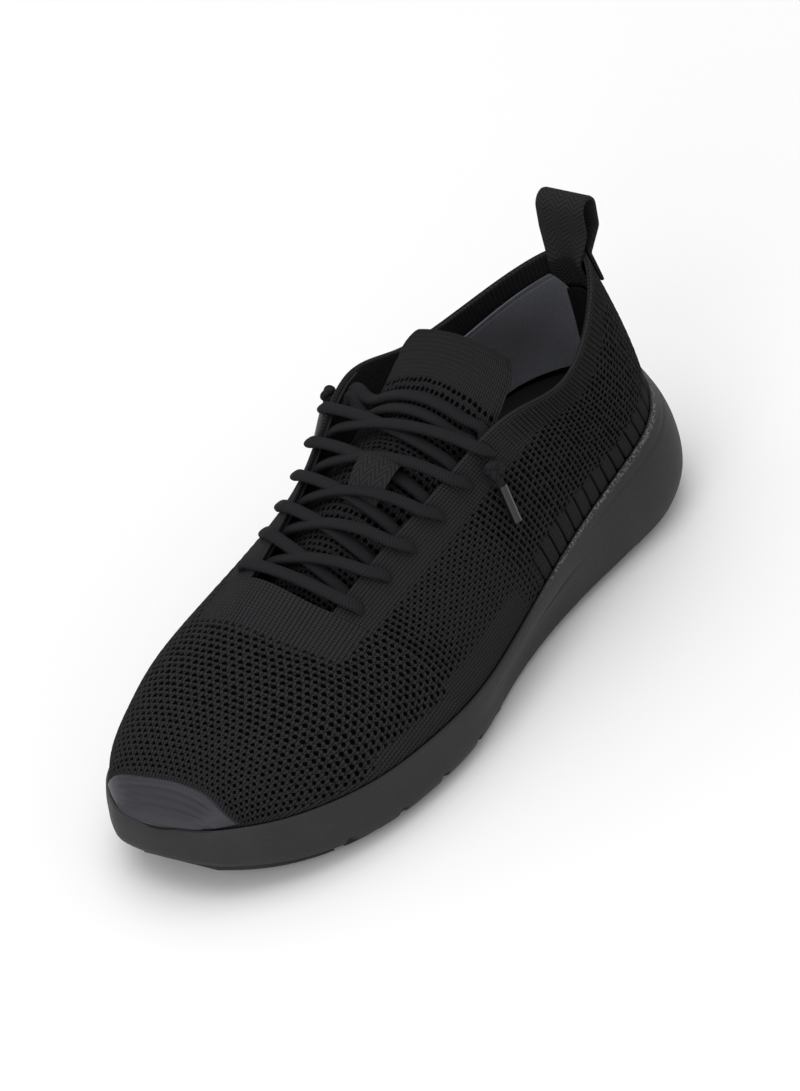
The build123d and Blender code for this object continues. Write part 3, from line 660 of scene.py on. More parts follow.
def cloth_material(name, tone, scale, roughness):
    """Brushed or plain cloth: soft cross-hatched fibre."""
    shader = Shader(name)
    fibre = shader.noise(scale, 3.0, stretch=(1.0, 0.3, 1.0))
    weft = shader.noise(scale, 2.0, stretch=(0.3, 1.0, 1.0))
    cloud = shader.noise(45.0, 2.0)
    height = fibre * 0.5 + weft * 0.5
    base = shader.mix(height * 0.6 + cloud * 0.4, shade(tone, 0.65), shade(tone, 1.35))
    return shader.finish(base, roughness, shader.bump(height, 0.00025), specular_ior_level=0.08)


def gloss_material(name, tone, roughness=0.16):
    """Shrunk plastic sheath: glossy, with faint draw lines."""
    shader = Shader(name)
    lines = shader.noise(420.0, 2.0, stretch=(1.0, 1.0, 0.1))
    base = shader.mix(lines, shade(tone, 0.8), shade(tone, 1.3))
    return shader.finish(base, lines * 0.1 + roughness, shader.bump(lines, 0.00008), coat_weight=0.1)


def paint(obj, material):
    """Give an object one material."""
    obj.data.materials.clear()
    obj.data.materials.append(material)


def place(obj, body, slot, material, *nodes):
    """Finish a piece: its material, the body it rides on and the CAD nodes it stands for; its slot is not
    used.
    """
    paint(obj, material)
    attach(obj, body)
    if nodes:
        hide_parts(*nodes)


# ---------------------------------------------------------------- sole
def lip_loop(stations):
    """Plan loop round the sole: lateral stations toe to heel, then medial back, then across the toe."""
    lateral = np.asarray(stations)
    medial = lateral[::-1][1:]
    across = np.linspace(0, 1, 15)[1:-1]
    bow = np.array([0.0, -3.2])
    left, right = feather(-1, 0.0 * across)[:, :2], feather(1, 0.0 * across)[:, :2]
    toe = left * (1 - across[:, None]) + right * across[:, None]
    toe = toe + bow * (4 * across * (1 - across))[:, None]
    points = np.concatenate([feather(1, lateral)[:, :2], feather(-1, medial)[:, :2], toe])
    station = np.concatenate([lateral, medial, np.zeros(len(across))])
    for _ in range(12):
        near_toe = smoothstep(-112, -128, points[:, 1])[:, None]
        spread = (np.roll(points, 1, 0) + np.roll(points, -1, 0)) / 2
        points = points + 0.5 * near_toe * (spread - points)
    along = np.roll(points, -1, 0) - np.roll(points, 1, 0)
    out = unit(np.stack([along[:, 1], -along[:, 0]], -1))
    return points, out, station


def side_stand_out(station, level):
    """The sole's side profile: splines through the table along the shoe, then up its height."""
    rows = np.array([smooth_curve(SIDE_STATIONS, row, station) for row in SIDE_OUT])
    return np.stack([smooth_curve(SIDE_LEVELS, rows[:, k], level) for k in range(rows.shape[1])], 1)


def sole_points():
    """Rows from under the ground edge, up the side, over the lip and down to the floor inside."""
    points, out, station = lip_loop(np.linspace(0.0, 1.0, 420))
    level = np.concatenate([[0.0, 0.008, 0.02, 0.04, 0.065], np.linspace(0.1, 0.96, 56), [0.975, 0.99, 1.0]])
    stand_out = side_stand_out(station, level)
    y = points[:, 1]
    low = ground_height(y) + TREAD_THICKNESS
    high = rim_height(y)
    rounding = 2.2 * np.clip(1 - level / 0.075, 0, 1)[:, None] ** 2
    height = low + (high - low) * level[:, None]
    stand_out = stand_out - rounding
    lip_round = 0.55 * smoothstep(0.955, 1.0, level)[:, None] ** 2
    stand_out = stand_out - lip_round
    waist = smoothstep(0.40, 0.46, station) * (1 - smoothstep(0.60, 0.68, station))
    line = np.exp(-((level[:, None] - 0.60 - 0.12 * (station - 0.5)) / 0.018) ** 2)
    stand_out = stand_out - 0.7 * line * waist
    rear = smoothstep(0.66, 0.74, station)
    stand_out = stand_out - 0.35 * np.exp(-((level[:, None] - 0.86) / 0.014) ** 2) * rear
    for groove in FOREFOOT_GROOVES_Y:
        notch = np.exp(-((y - groove) / (GROOVE_WIDTH * 0.38)) ** 4)
        depth = 1 - smoothstep(0.06, 0.24, level)[:, None]
        stand_out = stand_out - GROOVE_DEPTH * notch * depth
        height = height + 1.2 * notch * np.clip(1 - level / 0.12, 0, 1)[:, None]
    wall = points + out * stand_out[..., None]
    outer = np.concatenate([wall, height[..., None]], -1)
    floor = floor_height(y)
    inner_level = np.linspace(0, 1, 10)[:, None]
    inner_height = high - 0.25 - (high - 0.25 - floor) * inner_level
    inner_out = 0.25 - 1.2 * inner_level
    inner_plan = points + out * inner_out[..., None]
    inner = np.concatenate([inner_plan, np.broadcast_to(inner_height, inner_plan.shape[:2])[..., None]], -1)
    return outer, inner, station, level


def make_sole():
    """Cupped foam sole as one skin; floor and underside are fans of shrinking copies of their edge loop."""
    outer, inner, station, level = sole_points()
    shares = np.linspace(1, 0, 16)[1:]
    under_loop, floor_loop = outer[0], inner[-1]
    opposite = (2 * np.argmax(station) - np.arange(len(under_loop))) % len(under_loop)

    def fan(loop, height_of):
        """Loop drawn in towards the long centre line, each copy at the height of its own place.

        On the line itself a point and the one opposite share their mean place, so that the seam closes.
        """
        rows = []
        for share in shares:
            plan = loop[:, :2] * np.array([share, 1.0])
            mean_y = (loop[:, 1] + loop[opposite, 1]) / 2
            plan[:, 1] = (loop[:, 1] * share + mean_y * (1 - share)) * (1 - 0.08 * (1 - share))
            rows.append(np.concatenate([plan, height_of(plan[:, 1])[:, None]], -1))
        return np.array(rows)

    under = fan(under_loop, lambda y: ground_height(y) + TREAD_THICKNESS)
    floor = fan(floor_loop, floor_height)
    rows = np.concatenate([under[::-1], outer, inner, floor])
    count, size = rows.shape[:2]
    ids = np.arange(count * size).reshape(count, size)
    ids = np.concatenate([ids, ids[:, :1]], 1)
    run = np.cumsum(np.linalg.norm(np.diff(outer[0, :, :2], axis=0, append=outer[0, :1, :2]), axis=-1))
    uv = np.stack(np.broadcast_arrays(run[None] * 0.1, np.linspace(0, 6, count)[:, None]), -1)
    glue = np.zeros(rows.shape[:2])
    glue[len(under):len(under) + len(outer)] = (np.exp(-((level[:, None] - 0.985) / 0.022) ** 2)
                                                * smoothstep(0.50, 0.66, station)[None])
    sole = make_object("sole", rows.reshape(-1, 3), [grid_faces(ids)], uv.reshape(-1, 2),
                       {"glue": glue.ravel()}, sharp=42.0)
    place(sole, "shoe", "sole_foam", foam_material("sole_foam", settings().foam_colour), "midsole")


def bumper_reach(across):
    """How far back the toe film runs, as a station, at each place across the band round the toe.

    It runs a little less far down the lateral side, and a little further down the medial side.
    """
    lateral = 0.010 * smoothstep(1.0, 0.1, across)
    medial = 0.004 * smoothstep(1.9, 2.7, across)
    return 0.047 - lateral + medial


def make_toe_bumper():
    """Film over the toe: three thin ridges follow its upper edge and fade out towards its ends."""
    start, end = BUMPER_ACROSS
    across = np.linspace(start, end, 340)[None]
    rise = np.linspace(0.0, 1.0, 100)[:, None]
    station = 0.0005 + rise * bumper_reach(across)
    ridge_share = smoothstep(0.42, 0.80, across) * smoothstep(2.6, 2.2, across)
    ridges = sum(np.exp(-((rise - middle) / 0.035) ** 2) for middle in (0.42, 0.60, 0.78)) * ridge_share
    edge = smoothstep(1.0, 0.94, rise) * smoothstep(0.0, 0.04, np.minimum(across - start, end - across))
    over_lip = 0.9 * (1 - smoothstep(0.0, 0.22, rise))
    depth = -(0.9 + 0.5 * ridges + over_lip) * edge - 0.12
    station, depth, across = np.broadcast_arrays(station, depth, across)
    outer = toe_band(station, across, depth)
    inner = toe_band(station, across, np.full(depth.shape, 0.3))
    bumper = shell_object("toe_bumper_skin", outer, inner, step=3, sharp=40)
    film = foam_material("bumper_rubber", settings().bumper_colour, 2200.0, 0.42)
    place(bumper, "shoe", "bumper_rubber", film, "toe_bumper")


# ---------------------------------------------------------------- knit upper
def scatter(row, column, seed):
    """A fixed number from 0 to 1 for each cell: the fraction of a large sine."""
    return np.mod(np.sin(row * 12.9898 + column * 78.233 + seed) * 43758.5453, 1)


def hole_field(u, v, radius):
    """Depth share of offset holes, one per cell, every other row moved by half a cell.

    Each hole's middle and size stray a little, and it is drawn out along the row into an oval.
    """
    row = np.floor(v)
    across = u + 0.5 * np.mod(row, 2)
    column = np.floor(across)
    dx = np.mod(across, 1) - 0.5 + 0.14 * (scatter(row, column, 0.0) - 0.5)
    dy = np.mod(v, 1) - 0.5 + 0.14 * (scatter(row, column, 4.0) - 0.5)
    size = radius * (0.88 + 0.24 * scatter(row, column, 9.0))
    distance = np.hypot(dx * 0.94, dy * 1.12 + 0.35 * dx * dx)
    return smoothstep(size + 0.12, size - 0.07, distance)


def quarter_zones(station, height):
    """By station and height: the holes' radius as a share of a cell, then how far the knit is open, ribbed
    as on the collar, grooved as over the heel, and closed.
    """
    throat_band = smoothstep(0.70, 0.78, height) * (1 - smoothstep(0.66, 0.72, station))
    low_band = (1 - smoothstep(0.17, 0.24, height)) * (1 - smoothstep(0.50, 0.56, station))
    middle = smoothstep(0.34, 0.42, station) * (1 - smoothstep(0.52, 0.58, station))
    collar = smoothstep(0.74, 0.82, height) * smoothstep(0.62, 0.70, station)
    heel_band = (1 - smoothstep(0.16, 0.26, height)) * smoothstep(0.54, 0.60, station)
    heel = smoothstep(0.90, 0.96, station)
    radius = 0.25 + 0.05 * (1 - middle) - 0.05 * middle
    open_share = (1 - np.clip(throat_band + low_band + collar + heel_band, 0, 1)) * (1 - 0.6 * heel)
    return radius, open_share, collar, heel_band, throat_band + low_band


def make_quarter(side, name):
    """One side of the upper: holes, collar ribs and heel grooves are pressed into its outer face."""
    rows_v, columns_u = 78, 24
    per_v, per_u = 6, 6
    station = np.linspace(THROAT - 0.003, 1.0, rows_v * per_v + 1)[:, None]
    height = np.concatenate([[-0.075, -0.04], np.linspace(0.0, 1.0, columns_u * per_u + 1)])[None]
    station, height = np.broadcast_arrays(station, height)
    u = np.clip(height, 0, 1) * columns_u
    v = (station - THROAT) / (1 - THROAT) * rows_v
    radius, open_share, collar, heel_band, dense = quarter_zones(station, height)
    within = smoothstep(0.0, 0.02, height) * (1 - smoothstep(0.975, 0.99, height))
    holes = hole_field(u, v, radius) * open_share * within
    waviness = 0.5 + 1.4 * smoothstep(0.86, 1.0, station)
    ribs = np.sin(2 * np.pi * v * 1.2 + waviness * np.sin(22 * height)) * 0.5 + 0.5
    collar = collar * (1 - smoothstep(0.93, 0.985, height))
    grooves = smoothstep(0.84, 0.98, np.sin(2 * np.pi * v * 0.4) * 0.5 + 0.5)
    stretch = smoothstep(0.5, 0.9, np.sin(2 * np.pi * (v * 0.5 + u * 0.5)) * 0.5 + 0.5)
    depth = HOLE_DEPTH * holes + RIB_DEPTH * (1 - ribs) * collar + HEEL_GROOVE_DEPTH * grooves * heel_band
    rolled = 0.9 * smoothstep(0.982, 1.0, height)
    depth = depth - 0.10 * stretch * open_share + rolled
    outer = side_layer(side, station, height, depth)
    inner = side_layer(side, station, height, np.full(depth.shape, KNIT_THICKNESS))
    uv = np.stack([u, v], -1)
    # Painted shade: the hollows between the collar ribs and in the heel grooves are darkened like the holes.
    shadow = 0.55 * (1 - ribs) ** 2 * collar + 0.6 * grooves * heel_band
    closed = np.clip(dense + collar * 0.7 + heel_band * 0.5, 0, 1)
    marks = {"recess_shade": np.clip(holes + shadow, 0, 1), "dense": closed}
    return shell_object(name, outer, inner, uv, marks, step=3, sharp=75)


def arc_length(points, axis):
    """Length run along one axis of a grid of points, from its first row."""
    steps = np.linalg.norm(np.diff(points, axis=axis), axis=-1)
    return np.insert(np.cumsum(steps, axis), 0, 0.0, axis)


def make_vamp():
    """Toe box round the toe; its holes stand in offset rows laid out by real length from the centre line."""
    station = np.linspace(0.0, THROAT, 262)[:, None]
    across = [np.linspace(0, 1, 124)[:-1], np.linspace(1, 2, 80)[:-1], np.linspace(2, 3, 124)]
    across = np.concatenate(across)[None]
    station, across = np.broadcast_arrays(station, across)
    face = toe_band(station, across, np.zeros(station.shape))
    sideways = arc_length(face, 1)
    middle = np.argmin(np.abs(across[0] - 1.5))
    sideways = sideways - sideways[:, middle:middle + 1]
    backwards = arc_length(face, 0)[:, middle:middle + 1]
    pitch = 2.4 + 0.75 * smoothstep(12.0, 60.0, backwards)
    u = sideways / pitch
    v = np.cumsum(np.gradient(backwards[:, 0]) / (pitch[:, 0] * 0.76))[:, None] + 0 * u
    near_throat = smoothstep(0.265, 0.30, station) * smoothstep(0.70, 0.82, across)
    near_throat = near_throat * (1 - smoothstep(2.18, 2.30, across))
    edge = smoothstep(0.0, 0.07, np.minimum(across, 3 - across))
    band = smoothstep(0.18, 0.10, across) * smoothstep(0.18, 0.24, station)
    toe_guard = smoothstep(0.0, 0.012, station - bumper_reach(across))
    radius = 0.235 + 0.05 * smoothstep(0.08, 0.20, station)
    holes = hole_field(u, v, radius) * (1 - near_throat) * (1 - band) * edge * toe_guard
    depth = HOLE_DEPTH * holes - 0.06 * (np.sin(2 * np.pi * u) * 0.5 + 0.5) * (1 - near_throat)
    depth = depth + 0.10 * (np.sin(2 * np.pi * sideways / 1.7) * 0.5 + 0.5) * near_throat
    outer = toe_band(station, across, depth)
    inner = toe_band(station, across, np.full(depth.shape, KNIT_THICKNESS))
    uv = np.stack([u, v], -1)
    # Painted shade: the holes are marked to be darkened nearly to black.
    marks = {"recess_shade": holes, "dense": np.clip(near_throat + band + (1 - edge), 0, 1)}
    return shell_object("knit_vamp", outer, inner, uv, marks, step=3, sharp=75)


def make_knit():
    """The toe box and the two sides, in one yarn."""
    yarn = knit_material("upper_knit")
    vamp = make_vamp()
    lateral = make_quarter(1, "knit_quarter_lateral")
    medial = make_quarter(-1, "knit_quarter_medial")
    place(vamp, "shoe", "knit", yarn, "knit_upper")
    place(lateral, "shoe", "knit", yarn)
    place(medial, "shoe", "knit", yarn)


# ---------------------------------------------------------------- tongue
def make_tongue():
    """One knit tongue in place of the two solids; its free top curves upwards."""
    along = np.linspace(0.0, 1.0, 310)[:, None]
    across = np.linspace(-1.0, 1.0, 170)[None]
    along, across = np.broadcast_arrays(along, across)
    tip_round = 1 - 0.14 * np.clip((along - 0.955) / 0.045, 0, 1) ** 3
    u = (across * 0.5 + 0.5) * 30
    v = along * 54
    dense = smoothstep(0.895, 0.905, along)
    holes = hole_field(u * 0.8, v * 0.9, 0.27) * (1 - dense) * smoothstep(1.0, 0.93, np.abs(across))
    stitch_line = np.exp(-((np.abs(across) - 0.93) / 0.012) ** 2) + np.exp(-((along - 0.955) / 0.006) ** 2)
    depth = 0.7 * holes + 0.35 * stitch_line * smoothstep(0.80, 0.84, along)
    curl = 0.9 * smoothstep(0.9, 1.0, np.abs(across)) * smoothstep(0.84, 0.9, along)
    outer = tongue_layer(along, across * tip_round, depth + curl)
    inner = tongue_layer(along, across * tip_round, np.full(depth.shape, TONGUE_THICKNESS))
    uv = np.stack([u, v], -1)
    # Painted shade: the holes are marked to be darkened nearly to black.
    marks = {"recess_shade": holes, "dense": np.clip(dense + smoothstep(0.9, 0.95, np.abs(across)), 0, 1)}
    tongue = shell_object("tongue_knit", outer, inner, uv, marks, step=3, sharp=70)
    paint(tongue, knit_material("tongue_knit_shade"))
    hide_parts("tongue", "tongue_flap")
    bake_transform(tongue)


# ---------------------------------------------------------------- lacing
def lace_layer(side, row, depth):
    """Point at an eyelet, counted from the toe end, at a depth under the knit's face."""
    station, height = EYELETS[row] if row < len(EYELETS) else LAST_EYELET[side]
    return side_layer(side, np.array(station), np.array(height), np.array(float(depth)))


def over_tongue_point(x, y, lift):
    """Point above the tongue's top face at (x, y): its station is read off its centre line."""
    along = np.interp(y, [c[1] for c in TONGUE_CENTRE], np.linspace(0, 1, len(TONGUE_CENTRE)))
    centre, half, _ = tongue_frame(np.array(along))
    return tongue_layer(np.array(along), (x - centre[0]) / half, -np.array(float(lift)))


def arched(leave, land, shares, lift, crossing_lift):
    """Points on a taut strand: its chord plus one parabola, just high enough to clear the tongue."""
    rise = 0.4
    for share in np.linspace(0.25, 0.75, 9):
        point = leave + (land - leave) * share
        clear = lift + crossing_lift * math.exp(-((share - 0.5) / 0.2) ** 2)
        crest = over_tongue_point(point[0], point[1], 0.0)[2]
        rise = max(rise, (crest + clear - point[2]) / (4 * share * (1 - share)))
    points = [leave + (land - leave) * share for share in shares]
    for point, share in zip(points, shares):
        point[2] += rise * 4 * share * (1 - share)
    return points


def lace_hop(side, row):
    """From under eyelet (side, row), taut over the tongue and down to the next eyelet opposite.

    The strands that end on the lateral side lie over the others.
    """
    start, end = EYELETS[row][0], EYELETS[row + 1][0]
    leave = side_layer(side, np.array(start + 0.3 * (end - start)), np.array(0.985), np.array(LACE_UNDER))
    land = side_layer(-side, np.array(end - 0.15 * (end - start)), np.array(0.985), np.array(-1.9))
    tops = arched(leave, land, (0.2, 0.35, 0.5, 0.65, 0.8, 0.92), 1.5, 2.7 if side < 0 else 0.0)
    return [lace_layer(side, row, LACE_UNDER), leave, *tops, land, lace_layer(-side, row + 1, -1.5)]


def top_lace_run(side):
    """Last run on one side: under the sixth eyelet, twice across the tongue, up through the seventh."""
    y = 31.0 if side > 0 else 25.5
    first = side_layer(side, np.array(0.662), np.array(0.985), np.array(LACE_UNDER_TOP))
    last = side_layer(-side, np.array(0.67 if side > 0 else 0.64), np.array(0.985), np.array(LACE_UNDER_TOP))
    ends = [over_tongue_point(side * x, y, 1.6) for x in (19.0, -18.0)]
    tops = arched(ends[0], ends[1], (0.0, 0.2, 0.4, 0.6, 0.8, 1.0), 1.7, 0.0)
    out = [lace_layer(-side, 6, LACE_UNDER), lace_layer(-side, 6, -2.0)]
    return [lace_layer(side, 5, LACE_UNDER), first, *tops, last, *out]


def lace_points():
    """The lace's route, from the last lateral eyelet down to the bar at the toe end and up again."""
    half = {}
    for side in (1, -1):
        points = [lace_layer(side, 0, -1.5)]
        for row in range(5):
            points += lace_hop(side * (-1) ** row, row)
        half[side] = points + top_lace_run(side * (-1) ** 5)
    station = np.array(EYELETS[0][0])
    bar = [side_layer(s, station, np.array(height), np.array(-2.2)) for s, height in ((1, 0.99), (-1, 0.97))]
    middle = (bar[0] + bar[1]) / 2 + np.array([0.0, 0.0, 1.6])
    return np.array(half[1][::-1] + [bar[0], middle, bar[1]] + half[-1])


def surface_up(points):
    """Rough outward direction of the shoe's top at each point: away from an axis inside the foot."""
    centre = np.stack([0 * points[:, 0] + 1.0, points[:, 1], 30.0 + 0 * points[:, 0]], -1)
    return unit(points - centre)


def make_laces():
    """The lace as one flat-sided cord, with a knot and an end on each side."""
    braid = woven_material("lace_braid", settings().lace_colour)
    corners = lace_points()
    path = even_path(spline_path(corners, 16), 0.8)
    lace = swept("lace_cord", path, surface_up(path), LACE_HALF_WIDTH, LACE_HALF_HEIGHT, 24, power=2.4)
    place(lace, "shoe", "lace", braid, "lace")
    for side, label in ((1, "lateral"), (-1, "medial")):
        knot, tail = make_lace_end(side, label)
        place(knot, "shoe", "lace", braid, f"lace_knot_{label}")
        place(tail, f"lace_end_{label}", "lace", braid, f"lace_tail_{label}")


def knot_centre(side):
    """Middle of a side's knot, just outside its last eyelet."""
    station, height = (np.array(value) for value in LAST_EYELET[side])
    return side_layer(side, station, height, np.array(-KNOT_STAND_OFF))


def make_lace_end(side, label):
    """Overhand knot, a trefoil drawn tight and flattened towards the shoe, and the straight end below it."""
    turn = np.linspace(0, 2 * np.pi, 140)
    x = np.sin(turn) + 2 * np.sin(2 * turn)
    y = np.cos(turn) - 2 * np.cos(2 * turn)
    z = -np.sin(3 * turn)
    loop = np.stack([x, y, z * 1.1], -1) * 0.82
    out = side_normal(side, np.array(LAST_EYELET[side][0]), np.array(LAST_EYELET[side][1]))
    up = np.array([0.0, 0.35, 1.0])
    up = unit(up - out * (up @ out))
    across = np.cross(out, up)
    path = knot_centre(side) + loop @ np.array([across, up, out * 0.85])
    knot = swept(f"knot_{label}", path, surface_up(path), 1.55, 1.35, 16)
    tip = np.array(LACE_TIP[side])
    start = knot_centre(side)
    way = unit(tip - start)
    length = np.linalg.norm(tip - start)
    reach = np.linspace(3.0, max(length - 13.0, 3.4), 14)[:, None]
    tail_path = start + way * reach
    tail = swept(f"tail_{label}", tail_path, np.broadcast_to(out, tail_path.shape), 1.6, 1.4, 18)
    return knot, tail


def make_keeper():
    """Webbing strap on the tongue that the laces run under."""
    along = np.linspace(KEEPER_ALONG[0] - 0.012, KEEPER_ALONG[1] + 0.012, 60)[:, None]
    across = np.linspace(KEEPER_CENTRE - KEEPER_HALF_WIDTH, KEEPER_CENTRE + KEEPER_HALF_WIDTH, 34)[None]
    along, across = np.broadcast_arrays(along, across)
    share = (along - KEEPER_ALONG[0]) / (KEEPER_ALONG[1] - KEEPER_ALONG[0])
    arch = 7.0 * np.sin(np.pi * np.clip(share, 0, 1)) ** 0.7
    outer = tongue_layer(along, across, -(arch + 1.0))
    inner = tongue_layer(along, across, -arch)
    uv = np.stack([share * 12, (across - KEEPER_CENTRE) / KEEPER_HALF_WIDTH * 0.5 + 0.5], -1)
    strap = shell_object("keeper_strap", outer, inner, uv, step=2, sharp=60)
    webbing = herringbone_material("keeper_webbing", settings().webbing_colour)
    place(strap, "shoe", "webbing", webbing, "lace_keeper")


def make_pull_tab():
    """Loop of webbing that stands up at the heel, its two legs stitched down outside and inside.

    The grid's rows follow the webbing: up the outside of the heel, over the loop, down the inside. Its
    columns cross the tape; on the legs they wrap the heel, on the loop they run straight.
    """
    y = TAB_FOLD_Y
    share = np.linspace(-1, 1, 45)[None]
    heel_height = np.linspace(0.70, 0.96, 34)[:, None]

    def leg(depth, reach):
        station = 1 - reach * np.abs(share) + 0 * heel_height
        lateral = side_layer(1, station, heel_height + 0 * share, np.full(station.shape, depth))
        medial = side_layer(-1, station, heel_height + 0 * share, np.full(station.shape, depth))
        return np.where(share[..., None] >= 0, lateral, medial)

    turn = np.linspace(0, np.pi, 46)
    rise = np.linspace(94.0, TAB_CROWN_Z, 16)
    crown_y = y + TAB_HALF_GAP * np.cos(turn)
    crown_z = TAB_CROWN_Z + 4.2 * np.sin(turn)
    loop_y = np.concatenate([y + TAB_HALF_GAP + 0 * rise, crown_y, y - TAB_HALF_GAP + 0 * rise])
    loop_z = np.concatenate([rise, crown_z, rise[::-1]])
    loop_x = TAB_CENTRE_X + share * TAB_WIDTH / 2
    loop = np.stack(np.broadcast_arrays(loop_x, loop_y[:, None], loop_z[:, None]), -1)
    rows = np.concatenate([leg(-1.1, 0.027), loop, leg(4.2, 0.038)[::-1]])
    middle = rows[:, rows.shape[1] // 2]
    run = arc_length(middle[:, None], 0)[:, 0]
    even = np.linspace(0, run[-1], 260)
    threads = rows.reshape(len(rows), -1).T
    rows = np.stack([np.interp(even, run, thread) for thread in threads], -1).reshape(len(even), -1, 3)
    for _ in range(10):
        rows[1:-1] = (rows[:-2] + rows[2:]) / 4 + rows[1:-1] / 2
    along = unit(np.gradient(rows, axis=0))
    sideways = unit(np.gradient(rows, axis=1))
    out = unit(np.cross(sideways, along))
    thin = 0.75 - 0.3 * smoothstep(0.9, 1.0, np.abs(share))[..., None]
    tab_uv = np.stack(np.broadcast_arrays(even[:, None], share * 0.5 + 0.5), -1)
    tab = shell_object("pull_tab_webbing", rows + out * thin, rows - out * thin, tab_uv, sharp=60)
    paint(tab, herringbone_material("tab_webbing", settings().webbing_colour))
    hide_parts("pull_tab", "pull_tab_anchor")
    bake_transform(tab)


# ---------------------------------------------------------------- heel linings
def make_linings():
    """Brushed panes inside the heel, stitched along their top and front edges."""
    for side, label in ((1, "lateral"), (-1, "medial")):
        run = np.linspace(0, 1, 120)[:, None]
        share = np.linspace(0, 1, 90)[None]
        station = 0.66 + run * (0.300 + 0.028 * np.sin(np.pi * share))
        top = 0.58 + (0.28 if side < 0 else 0.12) * run ** 0.85
        height = -0.05 + share * (top + 0.05)
        station, height, share = np.broadcast_arrays(station, height, share)
        seam = np.exp(-((share - 0.955) / 0.008) ** 2)
        wave = 0.18 * np.sin(station * 60) * np.sin(height * 9)
        depth = 4.3 + wave - 0.25 * seam
        inside = side_layer(side, station, height, depth + 0.8)
        back = side_layer(side, station, height, depth - 0.1)
        pane = shell_object(f"heel_lining_{label}_cloth", inside, back, step=2, sharp=60)
        lining = cloth_material(f"lining_{label}", (0.150, 0.153, 0.172), 1100.0, 0.92)
        place(pane, "shoe", "lining", lining, f"heel_lining_{label}")


# ---------------------------------------------------------------- pieces kept from the frame
CLOTHS = (
    ("strobel_board", "board_cloth", (0.25, 0.25, 0.24), 700.0, 0.9),
    ("toe_puff", "stiffener_sheet", (0.05, 0.05, 0.05), 1500.0, 0.6),
    ("heel_counter", "counter_sheet", (0.02, 0.02, 0.022), 1500.0, 0.6),
    ("heel_tape", "tape_cloth", (0.008, 0.008, 0.009), 900.0, 0.85),
    ("eyestay_backing_lateral", "backing_film", (0.012, 0.012, 0.013), 1300.0, 0.7),
    ("eyestay_backing_medial", "backing_film_medial", (0.012, 0.012, 0.013), 1300.0, 0.7),
    ("insole_foam", "insole_foam_cells", (0.025, 0.025, 0.026), 2200.0, 0.95),
    ("insole_cover", "insole_cloth", (0.012, 0.012, 0.013), 1600.0, 0.9),
)


def dress_frame():
    """A procedural finish for every solid of the frame that stays on show."""
    nodes = frame["nodes"]
    rubber = foam_material("tread_rubber", (0.016, 0.016, 0.018), 1100.0, 0.6)
    for name in ("forefoot_tread", "heel_tread"):
        paint(nodes[name], rubber)
    for name, label, tone, scale, roughness in CLOTHS:
        paint(nodes[name], cloth_material(label, tone, scale, roughness))
    sheath = gloss_material("aglet_sheath", (0.006, 0.006, 0.007))
    for name in ("aglet_lateral", "aglet_medial"):
        paint(nodes[name], sheath)


# ---------------------------------------------------------------- stage
def make_floor():
    """Wide sheet of pale paper."""
    size = FLOOR_HALF_SIZE
    points = np.array([[-size, -size, 0.0], [size, -size, 0.0], [size, size, 0.0], [-size, size, 0.0]]) / MM
    floor = make_object("floor", points, [np.array([[0, 1, 2, 3]])])
    shader = Shader("floor_paper")
    cloud = shader.noise(3.0, 2.0)
    paint(floor, shader.finish(shader.mix(cloud, (0.79, 0.79, 0.79), (0.81, 0.81, 0.81)), 0.9))


def make_camera():
    """Long lens, looking down at the toe end and the lateral side."""
    azimuth, elevation, roll = (math.radians(a) for a in CAMERA_ANGLES)
    back = Vector((math.sin(azimuth) * math.cos(elevation), -math.cos(azimuth) * math.cos(elevation),
                   math.sin(elevation)))
    right = Vector((math.cos(azimuth), math.sin(azimuth), 0.0))
    up = back.cross(right)
    side = right * math.cos(roll) + up * math.sin(roll)
    top = up * math.cos(roll) - right * math.sin(roll)
    data = bpy.data.cameras.new("view")
    data.lens = CAMERA_LENS
    data.sensor_width = 36.0
    camera = bpy.data.objects.new("view", data)
    middle = Vector(to_metres((0.0, 0.0, 50.0)))
    rotation = Matrix((side, top, back)).transposed()
    eye = middle + back * CAMERA_DISTANCE + side * CAMERA_SIDESTEP
    camera.matrix_world = Matrix.Translation(eye) @ rotation.to_4x4()
    bpy.context.scene.collection.objects.link(camera)
    bpy.context.scene.camera = camera


def add_light(name, place_at, size, power):
    """Square lamp that faces the shoe."""
    data = bpy.data.lights.new(name, "AREA")
    data.size = size
    data.energy = power
    lamp = bpy.data.objects.new(name, data)
    lamp.location = place_at
    lamp.rotation_euler = (Vector((0, 0, 0.04)) - Vector(place_at)).to_track_quat("-Z", "Y").to_euler()
    bpy.context.scene.collection.objects.link(lamp)


def make_lights():
    """A bright even surround with large soft lamps; plain colour management keeps whites white."""
    world = bpy.data.worlds.new("studio")
    world.use_nodes = True
    world.node_tree.nodes["Background"].inputs[0].default_value = (1.0, 1.0, 1.0, 1)
    world.node_tree.nodes["Background"].inputs[1].default_value = SURROUND_STRENGTH
    bpy.context.scene.world = world
    bpy.context.scene.view_settings.view_transform = "Standard"
    for name, place_at, size, power in LIGHTS:
        add_light(name, place_at, size, power)


def to_metres(point):
    """Tables' millimetres to the frame's metres: the frame's origin is under the shoe's plan middle."""
    return (np.asarray(point, float) - np.array([*PLAN_MIDDLE, 0.0])) * MM


# ---------------------------------------------------------------- add-on
def colour_property(name, description, default):
    """A colour setting in linear light."""
    return bpy.props.FloatVectorProperty(name=name, description=description, default=default, size=3,
                                         min=0.0, max=1.0, subtype="COLOR")


